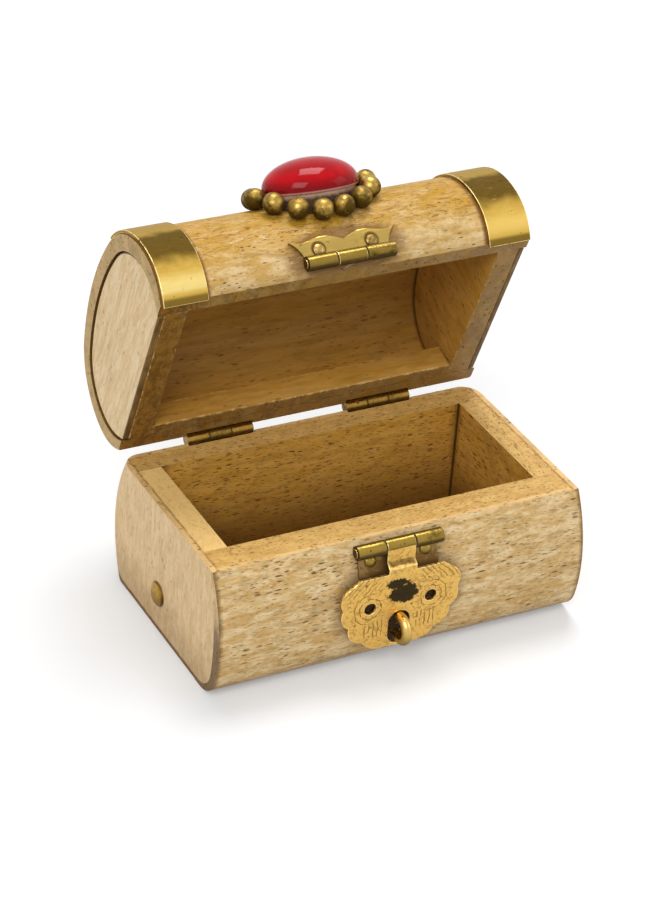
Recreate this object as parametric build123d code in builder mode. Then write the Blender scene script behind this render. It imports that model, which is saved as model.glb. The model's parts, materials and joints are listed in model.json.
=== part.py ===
"""Small domed treasure chest: bone panels on a wooden core, brass fittings and a set stone.

Millimetres. X runs along the box, Y to its back, Z up. The origin is the centre of the
underside. The lid is drawn shut and then swung open to the angle at which it stands.
"""
import os
from math import asin, atan2, cos, degrees, hypot, pi, radians, sin, sqrt

from build123d import *

os.makedirs("parts", exist_ok=True)

# Whole box
box_length = 76.0
rim_depth = 41.0
base_height = 26.8
lid_height = 24.0
lid_overhang = 1.5
shut_gap = 0.1
lid_rest_angle = 68.0
overrun = 5.0

# Section of the base: bulging front and back, rounded foot
belly_bulge = 4.1
belly_height = 12.0
foot_round = 6.5
back_corner_round = 3.5
back_corner_sweep = 60.0

# Walls of the base
front_wall = 6.5
back_wall = 5.6
end_wall = 6.0
floor_thickness = 4.0
skin_at_rim = 0.9
skin_at_belly = 2.3
bottom_skin = 1.0
core_foot_round = 5.0
end_panel_thickness = 1.2

# Section and walls of the lid
lid_bulge = 3.45
lid_belly_height = 7.5
lid_shoulder_share = 0.91
lid_wall = 3.2
lid_rim_wall = 3.0
lid_end_wall = 6.0
lid_end_round = 0.5
lid_panel_thickness = 1.2
lid_panel_inset = 0.3
lid_panel_gap = 0.25
lid_rail_width = 2.6
lid_rail_height = 5.0

# Brass bands over the two front corners of the lid
cap_width = 8.8
cap_inset = 0.4
cap_thickness = 0.6
cap_lip = 0.3

# Stone, its bed and the ring of beads round it, on the front shoulder of the lid
stone_angle = 43.3
stone_length = 18.8
stone_width = 15.0
stone_girdle = 0.7
stone_dome = 5.1
bed_inset = 0.6
bed_height = 2.4
bead_count = 14
bead_radius = 2.05
bead_lift = 2.1
bead_ring_length = 22.9
bead_ring_width = 16.8
bead_steps = 720

# Back hinges
hinge_spacing = 34.0
hinge_length = 13.8
hinge_setback = 1.15
hinge_knuckle_radius = 1.2
hinge_pin_radius = 0.45
hinge_leaf_thickness = 0.5
hinge_leaf_height = 6.4
hinge_leaf_start = 0.7
hinge_notch_depth = 0.65
hinge_notch_reach = 0.9
hinge_nail_drop = 4.3
hinge_nail_spacing = 8.0
knuckle_gap = 0.1
running_clearance = 0.05
swing_clearance = 0.15

# Hasp on the base
hasp_offset = -1.6
hasp_length = 17.6
hasp_middle_length = 6.0
hasp_knuckle_radius = 1.4
hasp_pin_radius = 0.5
hasp_pin_head = 0.9
hasp_pin_head_height = 0.25
hasp_drop = 1.3
knuckle_standoff = 0.1
hasp_leaf_thickness = 0.5
hasp_leaf_length = 16.4
hasp_leaf_drop = 5.6
hasp_nail_drop = 2.6
hasp_nail_spacing = 11.4
strap_width = 5.8
strap_drop = 2.6
strap_joggle = 1.0
plate_thickness = 0.6
plate_clearance = 0.25
plate_top_drop = 4.6
plate_width = 24.8
plate_height = 16.2
plate_hole_radius = 1.2
plate_hole_spacing = 12.6
plate_hole_drop = 6.7
slot_width = 4.5
slot_height = 7.0
slot_drop = 12.1
plate_corner_share = (0.70, 1.0)
plate_cusp_shares = ((0.92, 0.88), (0.96, 0.63), (0.85, 0.37), (0.61, 0.14), (0.21, 0.01))
plate_scallop_shares = ((1.0, 0.755), (0.975, 0.49), (0.805, 0.215), (0.425, 0.02))

# Staple that the hasp's slot drops over
staple_wire = 1.9
staple_spacing = 4.6
staple_rise = 0.1
staple_depth = 5.5
staple_reach = 0.9

# Catch plate on the lid
catch_offset = -0.4
catch_length = 17.8
catch_middle_length = 6.0
catch_knuckle_radius = 1.4
catch_pin_radius = 0.5
catch_rise = 1.0
catch_leaf_thickness = 0.5
catch_leaf_length = 21.6
catch_leaf_rise = 5.0
catch_foot_share = 0.77
catch_crest_shares = ((0.70, 0.87), (0.37, 1.0), (0.12, 0.86))
catch_notch_share = 0.74
catch_horn_rise_share = 0.96
catch_edge_shares = (0.83, 0.50)
catch_nail_rise = 2.7
catch_nail_spacing = 10.8

# Round-headed nails and tacks
nail_head_radius = 1.1
nail_head_height = 0.5
nail_shank_radius = 0.45
nail_length = 4.0
catch_nail_length = 2.4
hinge_nail_head_radius = 0.9
hinge_lid_nail_length = 2.4
tack_head_radius = 2.25
tack_head_height = 1.2
tack_shank_radius = 0.6
tack_length = 5.0
tack_height = 8.0
tack_setback = 1.5
head_edge_share = 0.35

# Worked out from the sizes above
half_length = box_length / 2
rim_half = rim_depth / 2


def arc_radius(bulge, rise):
    """Radius of an arc that stands out by bulge over a height of rise, upright where widest."""
    return (bulge ** 2 + rise ** 2) / (2 * bulge)


belly_radius = arc_radius(belly_bulge, base_height - belly_height)
belly_centre = rim_half + belly_bulge - belly_radius
core_rim_half = rim_half - skin_at_rim
core_bulge = belly_bulge + skin_at_rim - skin_at_belly
core_radius = arc_radius(core_bulge, base_height - belly_height)
core_centre = core_rim_half + core_bulge - core_radius
core_length = box_length - 2 * end_panel_thickness
cavity_front = front_wall - rim_half
cavity_back = rim_half - back_wall
cavity_length = box_length - 2 * end_wall
cavity_depth = cavity_back - cavity_front

lid_rim_height = base_height + shut_gap
lid_middle = -lid_overhang / 2
lid_rim_half = (rim_depth + lid_overhang) / 2
lid_belly_half = lid_rim_half + lid_bulge
lid_shoulder_rise = lid_height - lid_belly_height
lid_shoulder_radius = lid_shoulder_share * lid_shoulder_rise
lid_side_radius = arc_radius(lid_bulge, lid_belly_height)
lid_belly_level = lid_rim_height + lid_belly_height
shoulder_centre = lid_belly_half - lid_shoulder_radius
side_centre = lid_belly_half - lid_side_radius

hinge_y = rim_half + hinge_setback
hinge_z = base_height + shut_gap / 2
hinge_line = Axis((0, hinge_y, hinge_z), (1, 0, 0))


def belly_depth(height):
    """Distance of the bulging face from the middle of the box at a height."""
    return belly_centre + sqrt(belly_radius ** 2 - (height - belly_height) ** 2)


def belly_angle(height):
    """Angle up the bulging face at a height, seen from the centre of its arc."""
    return degrees(asin((height - belly_height) / belly_radius))


hasp_z = base_height - hasp_drop
hasp_reach = belly_radius + hasp_knuckle_radius + knuckle_standoff
hasp_y = -belly_centre - sqrt(hasp_reach ** 2 - (hasp_z - belly_height) ** 2)
plate_back = -rim_half - belly_bulge - plate_clearance
plate_top = hasp_z - plate_top_drop
slot_middle = plate_top - slot_drop
staple_middle = slot_middle + staple_rise


def side_depth(rise):
    """Distance of the lid's lower side from the middle of the lid, rise above its rim."""
    return side_centre + sqrt(lid_side_radius ** 2 - (rise - lid_belly_height) ** 2)


def side_angle(rise):
    """Angle down the lid's lower side from its widest level, rise above its rim."""
    return degrees(asin((lid_belly_height - rise) / lid_side_radius))


catch_z = lid_rim_height + catch_rise
catch_reach = lid_side_radius + catch_knuckle_radius + knuckle_standoff
catch_y = lid_middle - side_centre - sqrt(catch_reach ** 2 - (lid_belly_height - catch_rise) ** 2)


def crown_radius(belly_half, shoulder_radius, rise):
    """Radius of the crown arc that meets both shoulders in line and peaks rise above them."""
    reach = belly_half - shoulder_radius
    return (reach ** 2 + rise ** 2 - shoulder_radius ** 2) / (2 * (rise - shoulder_radius))


lid_crown_radius = crown_radius(lid_belly_half, lid_shoulder_radius, lid_shoulder_rise)
crown_drop = lid_crown_radius - lid_shoulder_rise
shoulder_end = degrees(atan2(crown_drop, shoulder_centre))


def arc_band(centre, radius, thickness, start, sweep):
    """Strip of even thickness laid on the outside of an arc."""
    with BuildSketch() as band:
        with BuildLine():
            inner = CenterArc(centre, radius, start, sweep)
            outer = CenterArc(centre, radius + thickness, start, sweep)
            Line(inner @ 0, outer @ 0)
            Line(inner @ 1, outer @ 1)
        make_face()
    return band.sketch


def base_outline(centre, radius, bottom, corner):
    """Section of the base: two bulging sides on a flat foot with rounded corners."""
    rim = degrees(asin((base_height - belly_height) / radius))
    foot = degrees(asin((belly_height - bottom) / radius))
    with BuildSketch() as section:
        with BuildLine():
            back = CenterArc((centre, belly_height), radius, -foot, rim + foot)
            front = CenterArc((-centre, belly_height), radius, 180 - rim, rim + foot)
            Line(back @ 1, front @ 0)
            Line(front @ 1, back @ 0)
        make_face()
        fillet(section.vertices().group_by(Axis.Y)[0], corner)
    return section.sketch


def lid_outline(inset, rim_inset):
    """Section of the lid: sides that draw in to the rim, round shoulders and a flat crown."""
    belly_half = lid_belly_half - inset
    rim_in = lid_rim_half - rim_inset
    shoulder = lid_shoulder_radius - inset
    rise = lid_shoulder_rise - inset
    crown = crown_radius(belly_half, shoulder, rise)
    reach = belly_half - shoulder
    end = degrees(atan2(crown - rise, reach))
    side = arc_radius(belly_half - rim_in, lid_belly_height)
    side_reach = belly_half - side
    drop = degrees(asin(lid_belly_height / side))
    level = lid_belly_level
    with BuildSketch() as section:
        with BuildLine():
            back = CenterArc((lid_middle + side_reach, level), side, -drop, drop)
            CenterArc((lid_middle + reach, level), shoulder, 0, end)
            CenterArc((lid_middle, level + rise - crown), crown, end, 180 - 2 * end)
            CenterArc((lid_middle - reach, level), shoulder, 180 - end, end)
            front = CenterArc((lid_middle - side_reach, level), side, 180, drop)
            Line(back @ 0, front @ 1)
        make_face()
    return section.sketch


# Solid forms that several pieces are cut from
with BuildPart() as base_form:
    with BuildSketch(Plane.YZ):
        add(base_outline(belly_centre, belly_radius, 0, foot_round))
    extrude(amount=half_length, both=True)

with BuildPart() as core_form:
    with BuildSketch(Plane.YZ):
        add(base_outline(core_centre, core_radius, bottom_skin, core_foot_round))
    extrude(amount=half_length + overrun, both=True)

with BuildPart() as lid_form:
    with BuildSketch(Plane.YZ):
        add(lid_outline(0, 0))
    extrude(amount=half_length, both=True)

# Tool that rounds the two back corners of the base all the way up the bulge
corner_x = half_length - back_corner_round
corner_y = rim_half + belly_bulge - back_corner_round
with BuildPart() as back_corner_cut:
    for side in (1, -1):
        with BuildSketch(Plane.XY.offset(belly_height)):
            for end in (1, -1):
                square = back_corner_round + overrun
                with Locations((end * (corner_x + square / 2), corner_y + square / 2)):
                    Rectangle(square, square)
                with Locations((end * corner_x, corner_y)):
                    Circle(back_corner_round, mode=Mode.SUBTRACT)
        revolve(axis=Axis((0, belly_centre, belly_height), (side, 0, 0)),
                revolution_arc=back_corner_sweep)

# Pockets in both rims that the hinge knuckles lie in
hinge_centres = (-hinge_spacing / 2, hinge_spacing / 2)
pocket_radius = hinge_knuckle_radius + swing_clearance
pocket_length = hinge_length + 2 * swing_clearance
with BuildPart() as hinge_pockets:
    for centre in hinge_centres:
        with Locations(Location((centre, hinge_y, hinge_z), (0, 90, 0))):
            Cylinder(pocket_radius, pocket_length)
        with Locations((centre, rim_half - hinge_notch_reach, hinge_z)):
            Box(pocket_length, hinge_notch_reach + overrun,
                2 * hinge_notch_depth + shut_gap, align=(Align.CENTER, Align.MIN, Align.CENTER))


def front_face_plane(x, height):
    """Plane on the front of the base, facing straight out of the bulge."""
    angle = radians(belly_angle(height))
    return Plane((x, -belly_depth(height), height), x_dir=(1, 0, 0), z_dir=(0, -cos(angle), sin(angle)))


def back_face_plane(x, height):
    """Plane on the back of the base, facing straight out of the bulge."""
    angle = radians(belly_angle(height))
    return Plane((x, belly_depth(height), height), x_dir=(-1, 0, 0), z_dir=(0, cos(angle), sin(angle)))


def lid_side_plane(x, rise, facing):
    """Plane on the lid's lower front (facing -1) or back (facing 1), square to the surface."""
    angle = radians(side_angle(rise))
    place = (x, lid_middle + facing * side_depth(rise), lid_rim_height + rise)
    return Plane(place, x_dir=(-facing, 0, 0), z_dir=(0, facing * cos(angle), -sin(angle)))


def spread(spacing):
    """Places of a pair, one spacing apart and centred."""
    return (-spacing / 2, spacing / 2)


hasp_nails = [front_face_plane(hasp_offset + x, hasp_z - hasp_nail_drop)
              for x in spread(hasp_nail_spacing)]
catch_nails = [lid_side_plane(catch_offset + x, catch_rise + catch_nail_rise, -1)
               for x in spread(catch_nail_spacing)]
base_hinge_nails = [back_face_plane(centre + x, base_height - hinge_nail_drop)
                    for centre in hinge_centres for x in spread(hinge_nail_spacing)]
lid_hinge_nails = [lid_side_plane(centre + x, hinge_nail_drop, 1)
                   for centre in hinge_centres for x in spread(hinge_nail_spacing)]
end_tacks = [Plane((side * half_length, tack_setback, tack_height), x_dir=(0, side, 0),
                   z_dir=(side, 0, 0)) for side in (-1, 1)]


def nails(planes, head_radius, head_height, shank_radius, length, standoff):
    """Round-headed nails driven in at the planes, their heads resting on standoff of metal."""
    rim = standoff + head_edge_share * head_height
    top = standoff + head_height
    dome_radius = arc_radius(top - rim, head_radius)
    midway = top - dome_radius + sqrt(dome_radius ** 2 - (head_radius / 2) ** 2)
    with BuildPart() as group:
        for plane in planes:
            with BuildSketch(Plane(plane.origin, x_dir=plane.x_dir, z_dir=-plane.y_dir)):
                with BuildLine():
                    Polyline((0, top), (0, -length), (shank_radius, -length),
                             (shank_radius, standoff), (head_radius, standoff), (head_radius, rim))
                    ThreePointArc((head_radius, rim), (head_radius / 2, midway), (0, top))
                make_face()
            revolve(axis=Axis(plane.origin, plane.z_dir))
    return group


def nail_holes(planes, shank_radius, length):
    """Holes that the nails fill, open to the outside."""
    for plane in planes:
        with Locations(plane.offset(-length)):
            Cylinder(shank_radius, length + overrun, mode=Mode.SUBTRACT,
                     align=(Align.CENTER, Align.CENTER, Align.MIN))


def staple_holes():
    """Holes for the two legs of the staple."""
    for side in (-1, 1):
        height = staple_middle + side * staple_spacing / 2
        with Locations(Location((hasp_offset, staple_depth - belly_depth(height), height), (90, 0, 0))):
            Cylinder(staple_wire / 2, staple_depth + overrun, mode=Mode.SUBTRACT,
                     align=(Align.CENTER, Align.CENTER, Align.MIN))


# Core of the base: four boards and a floor
with BuildPart() as base_front_board:
    with Locations((0, cavity_front, 0)):
        Box(core_length, rim_depth, base_height, align=(Align.CENTER, Align.MAX, Align.MIN))
    add(core_form.part, mode=Mode.INTERSECT)
    nail_holes(hasp_nails, nail_shank_radius, nail_length)
    staple_holes()

with BuildPart() as base_back_board:
    with Locations((0, cavity_back, 0)):
        Box(core_length, rim_depth, base_height, align=(Align.CENTER, Align.MIN, Align.MIN))
    add(core_form.part, mode=Mode.INTERSECT)
    add(back_corner_cut.part, mode=Mode.SUBTRACT)
    add(hinge_pockets.part, mode=Mode.SUBTRACT)
    nail_holes(base_hinge_nails, nail_shank_radius, nail_length)

with BuildPart() as base_floor:
    with Locations((0, cavity_front, bottom_skin)):
        Box(cavity_length, cavity_depth, floor_thickness - bottom_skin,
            align=(Align.CENTER, Align.MIN, Align.MIN))


def base_end_board(side):
    """End board between the front and back boards."""
    thickness = end_wall - end_panel_thickness
    with BuildPart() as board:
        with Locations((side * (cavity_length + thickness) / 2, cavity_front, bottom_skin)):
            Box(thickness, cavity_depth, base_height - bottom_skin,
                align=(Align.CENTER, Align.MIN, Align.MIN))
        nail_holes(end_tacks, tack_shank_radius, tack_length)
    return board


def base_end_panel(side):
    """Bone panel on the end of the core, framed by the edges of the other panels."""
    with BuildPart() as panel:
        with BuildSketch(Plane.YZ.offset(side * half_length)):
            add(base_outline(core_centre, core_radius, bottom_skin, core_foot_round))
        extrude(amount=-side * end_panel_thickness)
        add(back_corner_cut.part, mode=Mode.SUBTRACT)
        nail_holes(end_tacks, tack_shank_radius, tack_length)
    return panel


base_left_end_board = base_end_board(-1)
base_right_end_board = base_end_board(1)
base_left_end_panel = base_end_panel(-1)
base_right_end_panel = base_end_panel(1)

# Bone panels wrapped round the core: front, back and underside
foot_flat = belly_depth(0) - foot_round
with BuildPart() as base_front_panel:
    add(base_form.part)
    add(core_form.part, mode=Mode.SUBTRACT)
    with Locations((0, -foot_flat, -overrun)):
        Box(box_length + overrun, rim_depth, base_height + 2 * overrun, mode=Mode.INTERSECT,
            align=(Align.CENTER, Align.MAX, Align.MIN))
    nail_holes(hasp_nails, nail_shank_radius, nail_length)
    staple_holes()

with BuildPart() as base_back_panel:
    add(base_form.part)
    add(core_form.part, mode=Mode.SUBTRACT)
    with Locations((0, foot_flat, -overrun)):
        Box(box_length + overrun, rim_depth, base_height + 2 * overrun, mode=Mode.INTERSECT,
            align=(Align.CENTER, Align.MIN, Align.MIN))
    add(back_corner_cut.part, mode=Mode.SUBTRACT)
    add(hinge_pockets.part, mode=Mode.SUBTRACT)
    nail_holes(base_hinge_nails, nail_shank_radius, nail_length)

with BuildPart() as base_bottom_panel:
    Box(box_length, 2 * foot_flat, bottom_skin, align=(Align.CENTER, Align.CENTER, Align.MIN))

# Shell of the lid, with the rail behind its back edge
with BuildPart() as lid_shell:
    add(lid_form.part)
    fillet(lid_shell.edges().filter_by(GeomType.CIRCLE), lid_end_round)
    with BuildSketch(Plane.YZ):
        add(lid_outline(lid_wall, lid_rim_wall))
    extrude(amount=half_length + overrun, both=True, mode=Mode.SUBTRACT)
    add(hinge_pockets.part, mode=Mode.SUBTRACT)
    nail_holes(lid_hinge_nails, nail_shank_radius, hinge_lid_nail_length)
    nail_holes(catch_nails, nail_shank_radius, catch_nail_length)

lid_inner_length = box_length - 2 * lid_end_wall
with BuildPart() as lid_back_rail:
    with BuildSketch(Plane.YZ):
        add(lid_outline(lid_wall, lid_rim_wall))
        rail_front = lid_middle + lid_rim_half - lid_rim_wall - lid_rail_width
        with Locations((rail_front, lid_rim_height)):
            Rectangle(lid_rim_half, lid_rail_height, align=(Align.MIN, Align.MIN),
                      mode=Mode.INTERSECT)
    extrude(amount=lid_inner_length / 2, both=True)


def lid_end_board(side):
    """Domed end board, fitted inside the shell."""
    thickness = lid_end_wall - lid_panel_inset - lid_panel_thickness
    with BuildPart() as board:
        with BuildSketch(Plane.YZ.offset(side * lid_inner_length / 2)):
            add(lid_outline(lid_wall, lid_rim_wall))
        extrude(amount=side * thickness)
    return board


def lid_end_panel(side):
    """Bone panel on the end board, set in a little, with a fine gap round it."""
    inset = lid_wall + lid_panel_gap
    with BuildPart() as panel:
        with BuildSketch(Plane.YZ.offset(side * (half_length - lid_panel_inset))):
            add(lid_outline(inset, lid_rim_wall + lid_panel_gap))
        extrude(amount=-side * lid_panel_thickness)
    return panel


lid_left_end_board = lid_end_board(-1)
lid_right_end_board = lid_end_board(1)
lid_left_end_panel = lid_end_panel(-1)
lid_right_end_panel = lid_end_panel(1)


def lid_front_band(thickness, lip, top_angle):
    """Strip laid on the lid's front from lip below the rim up over the shoulder."""
    drop = degrees(asin((lid_belly_height + lip) / lid_side_radius))
    with BuildSketch() as band:
        add(arc_band((lid_middle - side_centre, lid_belly_level), lid_side_radius, thickness,
                     180, drop))
        add(arc_band((lid_middle - shoulder_centre, lid_belly_level), lid_shoulder_radius,
                     thickness, 180 - top_angle, top_angle))
    return band.sketch


def lid_cap(side):
    """Brass band over one front corner of the lid."""
    outer = half_length - cap_inset
    with BuildPart() as cap:
        with BuildSketch(Plane.YZ.offset(side * outer)):
            add(lid_front_band(cap_thickness, cap_lip, shoulder_end))
        extrude(amount=-side * cap_width)
    return cap


lid_left_cap = lid_cap(-1)
lid_right_cap = lid_cap(1)


def shoulder_point(arc, lift):
    """Point on the lid's front, arc towards the rim from the stone and lift off the surface."""
    angle = stone_angle - degrees(arc / lid_shoulder_radius)
    if angle <= shoulder_end:
        turn = radians(angle)
        reach = lid_shoulder_radius + lift
        return (lid_middle - shoulder_centre - reach * cos(turn), lid_belly_level + reach * sin(turn))
    turn = radians(shoulder_end + (angle - shoulder_end) * lid_shoulder_radius / lid_crown_radius)
    reach = lid_crown_radius + lift
    return (lid_middle - reach * cos(turn), lid_belly_level - crown_drop + reach * sin(turn))


stone_y, stone_z = shoulder_point(0, 0)
stone_plane = Plane((0, stone_y, stone_z), x_dir=(1, 0, 0),
                    z_dir=(0, -cos(radians(stone_angle)), sin(radians(stone_angle))))

with BuildPart() as stone_bed:
    with BuildSketch(stone_plane.offset(bed_height)):
        Ellipse(stone_length / 2 - bed_inset, stone_width / 2 - bed_inset)
    extrude(amount=-bed_height - lid_wall)
    add(lid_form.part, mode=Mode.SUBTRACT)

half_ball = Sphere(1, arc_size1=0, align=(Align.CENTER, Align.CENTER, Align.MIN))
dome = scale(half_ball, by=(stone_length / 2, stone_width / 2, stone_dome))
with BuildPart() as stone:
    with BuildSketch(stone_plane.offset(bed_height)):
        Ellipse(stone_length / 2, stone_width / 2)
    extrude(amount=stone_girdle)
    add(dome.moved(Location(stone_plane.offset(bed_height + stone_girdle))))


def ring_places():
    """Evenly spaced places round the oval, as a distance along the lid and one down its front."""
    outline = []
    travelled = [0]
    for step in range(bead_steps + 1):
        turn = 2 * pi * step / bead_steps
        outline.append((bead_ring_length / 2 * cos(turn), bead_ring_width / 2 * sin(turn)))
        if step:
            along = hypot(outline[-1][0] - outline[-2][0], outline[-1][1] - outline[-2][1])
            travelled.append(travelled[-1] + along)
    places = []
    for bead in range(bead_count):
        target = travelled[-1] * bead / bead_count
        places.append(outline[min(range(len(travelled)), key=lambda i: abs(travelled[i] - target))])
    return places


with BuildPart() as bead_ring:
    for along, down in ring_places():
        bead_y, bead_z = shoulder_point(down, bead_lift)
        with Locations((along, bead_y, bead_z)):
            Sphere(bead_radius)


def knuckle(x, y, z, radius, length):
    """Rolled knuckle along X, centred at x."""
    with Locations(Location((x, y, z), (0, 90, 0))):
        Cylinder(radius, length)


def bore(x, y, z, radius, length, mode=Mode.SUBTRACT):
    """Straight hole along X, centred at x."""
    with Locations(Location((x, y, z), (0, 90, 0))):
        Cylinder(radius, length, mode=mode)


def pin(x, y, z, radius, length, head_radius, head_height):
    """Hinge pin along X with a flat riveted head outside each end knuckle."""
    with BuildPart() as rod:
        knuckle(x, y, z, radius, length)
        for side in (-1, 1):
            knuckle(x + side * (length + head_height) / 2, y, z, head_radius, head_height)
    return rod


# Back hinges: the base leaf carries the two outer knuckles, the lid leaf the middle one
hinge_third = hinge_length / 3
outer_knuckle = hinge_third - knuckle_gap / 2
middle_knuckle = hinge_third - knuckle_gap
middle_space = hinge_third + knuckle_gap


def hinge_base_leaf(centre):
    """Leaf on the back of the base, with the two outer knuckles."""
    top = belly_angle(base_height - hinge_leaf_start)
    bottom = belly_angle(base_height - hinge_leaf_height)
    with BuildPart() as leaf:
        with BuildSketch(Plane.YZ.offset(centre)):
            add(arc_band((belly_centre, belly_height), belly_radius, hinge_leaf_thickness,
                         bottom, top - bottom))
        extrude(amount=hinge_length / 2, both=True)
        for side in (-1, 1):
            knuckle(centre + side * (hinge_length - outer_knuckle) / 2, hinge_y, hinge_z,
                    hinge_knuckle_radius, outer_knuckle)
        bore(centre, hinge_y, hinge_z, pocket_radius, middle_space)
        bore(centre, hinge_y, hinge_z, hinge_pin_radius, hinge_length)
        nail_holes(base_hinge_nails, nail_shank_radius, nail_length)
    return leaf


def hinge_lid_leaf(centre):
    """Leaf on the back of the lid, with the middle knuckle."""
    top = side_angle(hinge_leaf_height)
    bottom = side_angle(hinge_leaf_start)
    with BuildPart() as leaf:
        with BuildSketch(Plane.YZ.offset(centre)):
            add(arc_band((lid_middle + side_centre, lid_belly_level), lid_side_radius,
                         hinge_leaf_thickness, -bottom, bottom - top))
        extrude(amount=hinge_length / 2, both=True)
        for side in (-1, 1):
            bore(centre + side * hinge_third, hinge_y, hinge_z, pocket_radius, hinge_third + knuckle_gap)
        knuckle(centre, hinge_y, hinge_z, hinge_knuckle_radius, middle_knuckle)
        bore(centre, hinge_y, hinge_z, hinge_pin_radius + running_clearance, hinge_length)
        nail_holes(lid_hinge_nails, nail_shank_radius, hinge_lid_nail_length)
    return leaf


left_hinge_base_leaf, right_hinge_base_leaf = [hinge_base_leaf(x) for x in hinge_centres]
left_hinge_lid_leaf, right_hinge_lid_leaf = [hinge_lid_leaf(x) for x in hinge_centres]


def hinge_pin(centre):
    """Plain pin through the three knuckles of a back hinge."""
    with BuildPart() as rod:
        knuckle(centre, hinge_y, hinge_z, hinge_pin_radius, hinge_length)
    return rod


left_hinge_pin, right_hinge_pin = [hinge_pin(x) for x in hinge_centres]

hinge_base_nails = nails(base_hinge_nails, hinge_nail_head_radius, nail_head_height,
                         nail_shank_radius, nail_length, hinge_leaf_thickness)
hinge_lid_nails = nails(lid_hinge_nails, hinge_nail_head_radius, nail_head_height,
                        nail_shank_radius, hinge_lid_nail_length, hinge_leaf_thickness)

# Hasp: leaf nailed to the front, pin, and the swinging plate with its slot
hasp_outer = (hasp_length - hasp_middle_length) / 2
with BuildPart() as hasp_leaf:
    leaf_top = belly_angle(hasp_z)
    leaf_bottom = belly_angle(hasp_z - hasp_leaf_drop)
    with BuildSketch(Plane.YZ.offset(hasp_offset)):
        add(arc_band((-belly_centre, belly_height), belly_radius, hasp_leaf_thickness,
                     180 - leaf_top, leaf_top - leaf_bottom))
    extrude(amount=hasp_leaf_length / 2, both=True)
    for side in (-1, 1):
        knuckle(hasp_offset + side * (hasp_length - hasp_outer) / 2, hasp_y, hasp_z,
                hasp_knuckle_radius, hasp_outer)
    bore(hasp_offset, hasp_y, hasp_z, hasp_knuckle_radius + swing_clearance, hasp_middle_length)
    bore(hasp_offset, hasp_y, hasp_z, hasp_pin_radius, hasp_length)
    nail_holes(hasp_nails, nail_shank_radius, nail_length)

hasp_pin = pin(hasp_offset, hasp_y, hasp_z, hasp_pin_radius, hasp_length,
               hasp_pin_head, hasp_pin_head_height)

hasp_leaf_nails = nails(hasp_nails, nail_head_radius, nail_head_height, nail_shank_radius,
                        nail_length, hasp_leaf_thickness)


def plate_point(shares, side):
    """Point of the plate's outline, from its shares of half the width and of the height."""
    across, up = shares
    return (hasp_offset + side * across * plate_width / 2, plate_top - (1 - up) * plate_height)


with BuildPart() as hasp_plate:
    with BuildSketch(Plane.XZ.offset(-plate_back)):
        with BuildLine():
            for side in (-1, 1):
                for number, through in enumerate(plate_scallop_shares):
                    ThreePointArc(plate_point(plate_cusp_shares[number], side),
                                  plate_point(through, side),
                                  plate_point(plate_cusp_shares[number + 1], side))
            ThreePointArc(plate_point(plate_cusp_shares[-1], -1), plate_point((0, 0), 1),
                          plate_point(plate_cusp_shares[-1], 1))
            Polyline(plate_point(plate_cusp_shares[0], -1), plate_point(plate_corner_share, -1),
                     plate_point(plate_corner_share, 1), plate_point(plate_cusp_shares[0], 1))
        make_face()
        with Locations((hasp_offset, slot_middle)):
            SlotOverall(slot_height, slot_width, rotation=90, mode=Mode.SUBTRACT)
        for x in spread(plate_hole_spacing):
            with Locations((hasp_offset + x, plate_top - plate_hole_drop)):
                Circle(plate_hole_radius, mode=Mode.SUBTRACT)
    extrude(amount=plate_thickness)
    strap_front = hasp_y - hasp_knuckle_radius
    strap_back = strap_front + plate_thickness
    plate_front = plate_back - plate_thickness
    with BuildSketch(Plane.YZ.offset(hasp_offset)):
        joggle_start = hasp_z - strap_drop
        joggle_end = joggle_start - strap_joggle
        Polygon((strap_front, hasp_z), (strap_front, joggle_start), (plate_front, joggle_end),
                (plate_front, plate_top - plate_thickness), (plate_back, plate_top - plate_thickness),
                (plate_back, joggle_end), (strap_back, joggle_start), (strap_back, hasp_z), align=None)
    extrude(amount=strap_width / 2, both=True)
    knuckle(hasp_offset, hasp_y, hasp_z, hasp_knuckle_radius, hasp_middle_length - 2 * knuckle_gap)
    bore(hasp_offset, hasp_y, hasp_z, hasp_pin_radius + running_clearance, hasp_length)

# Staple: a bent wire with both legs in the front of the box
with BuildPart() as hasp_staple:
    low = staple_middle - staple_spacing / 2
    high = staple_middle + staple_spacing / 2
    bend = plate_back - plate_thickness - staple_reach
    with BuildLine(Plane.YZ.offset(hasp_offset)) as wire_path:
        Line((staple_depth - belly_depth(high), high), (bend, high))
        ThreePointArc((bend, high), (bend - staple_spacing / 2, staple_middle), (bend, low))
        Line((bend, low), (staple_depth - belly_depth(low), low))
    with BuildSketch(Plane(wire_path.wires()[0] @ 0, z_dir=wire_path.wires()[0] % 0)):
        Circle(staple_wire / 2)
    sweep()

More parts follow.
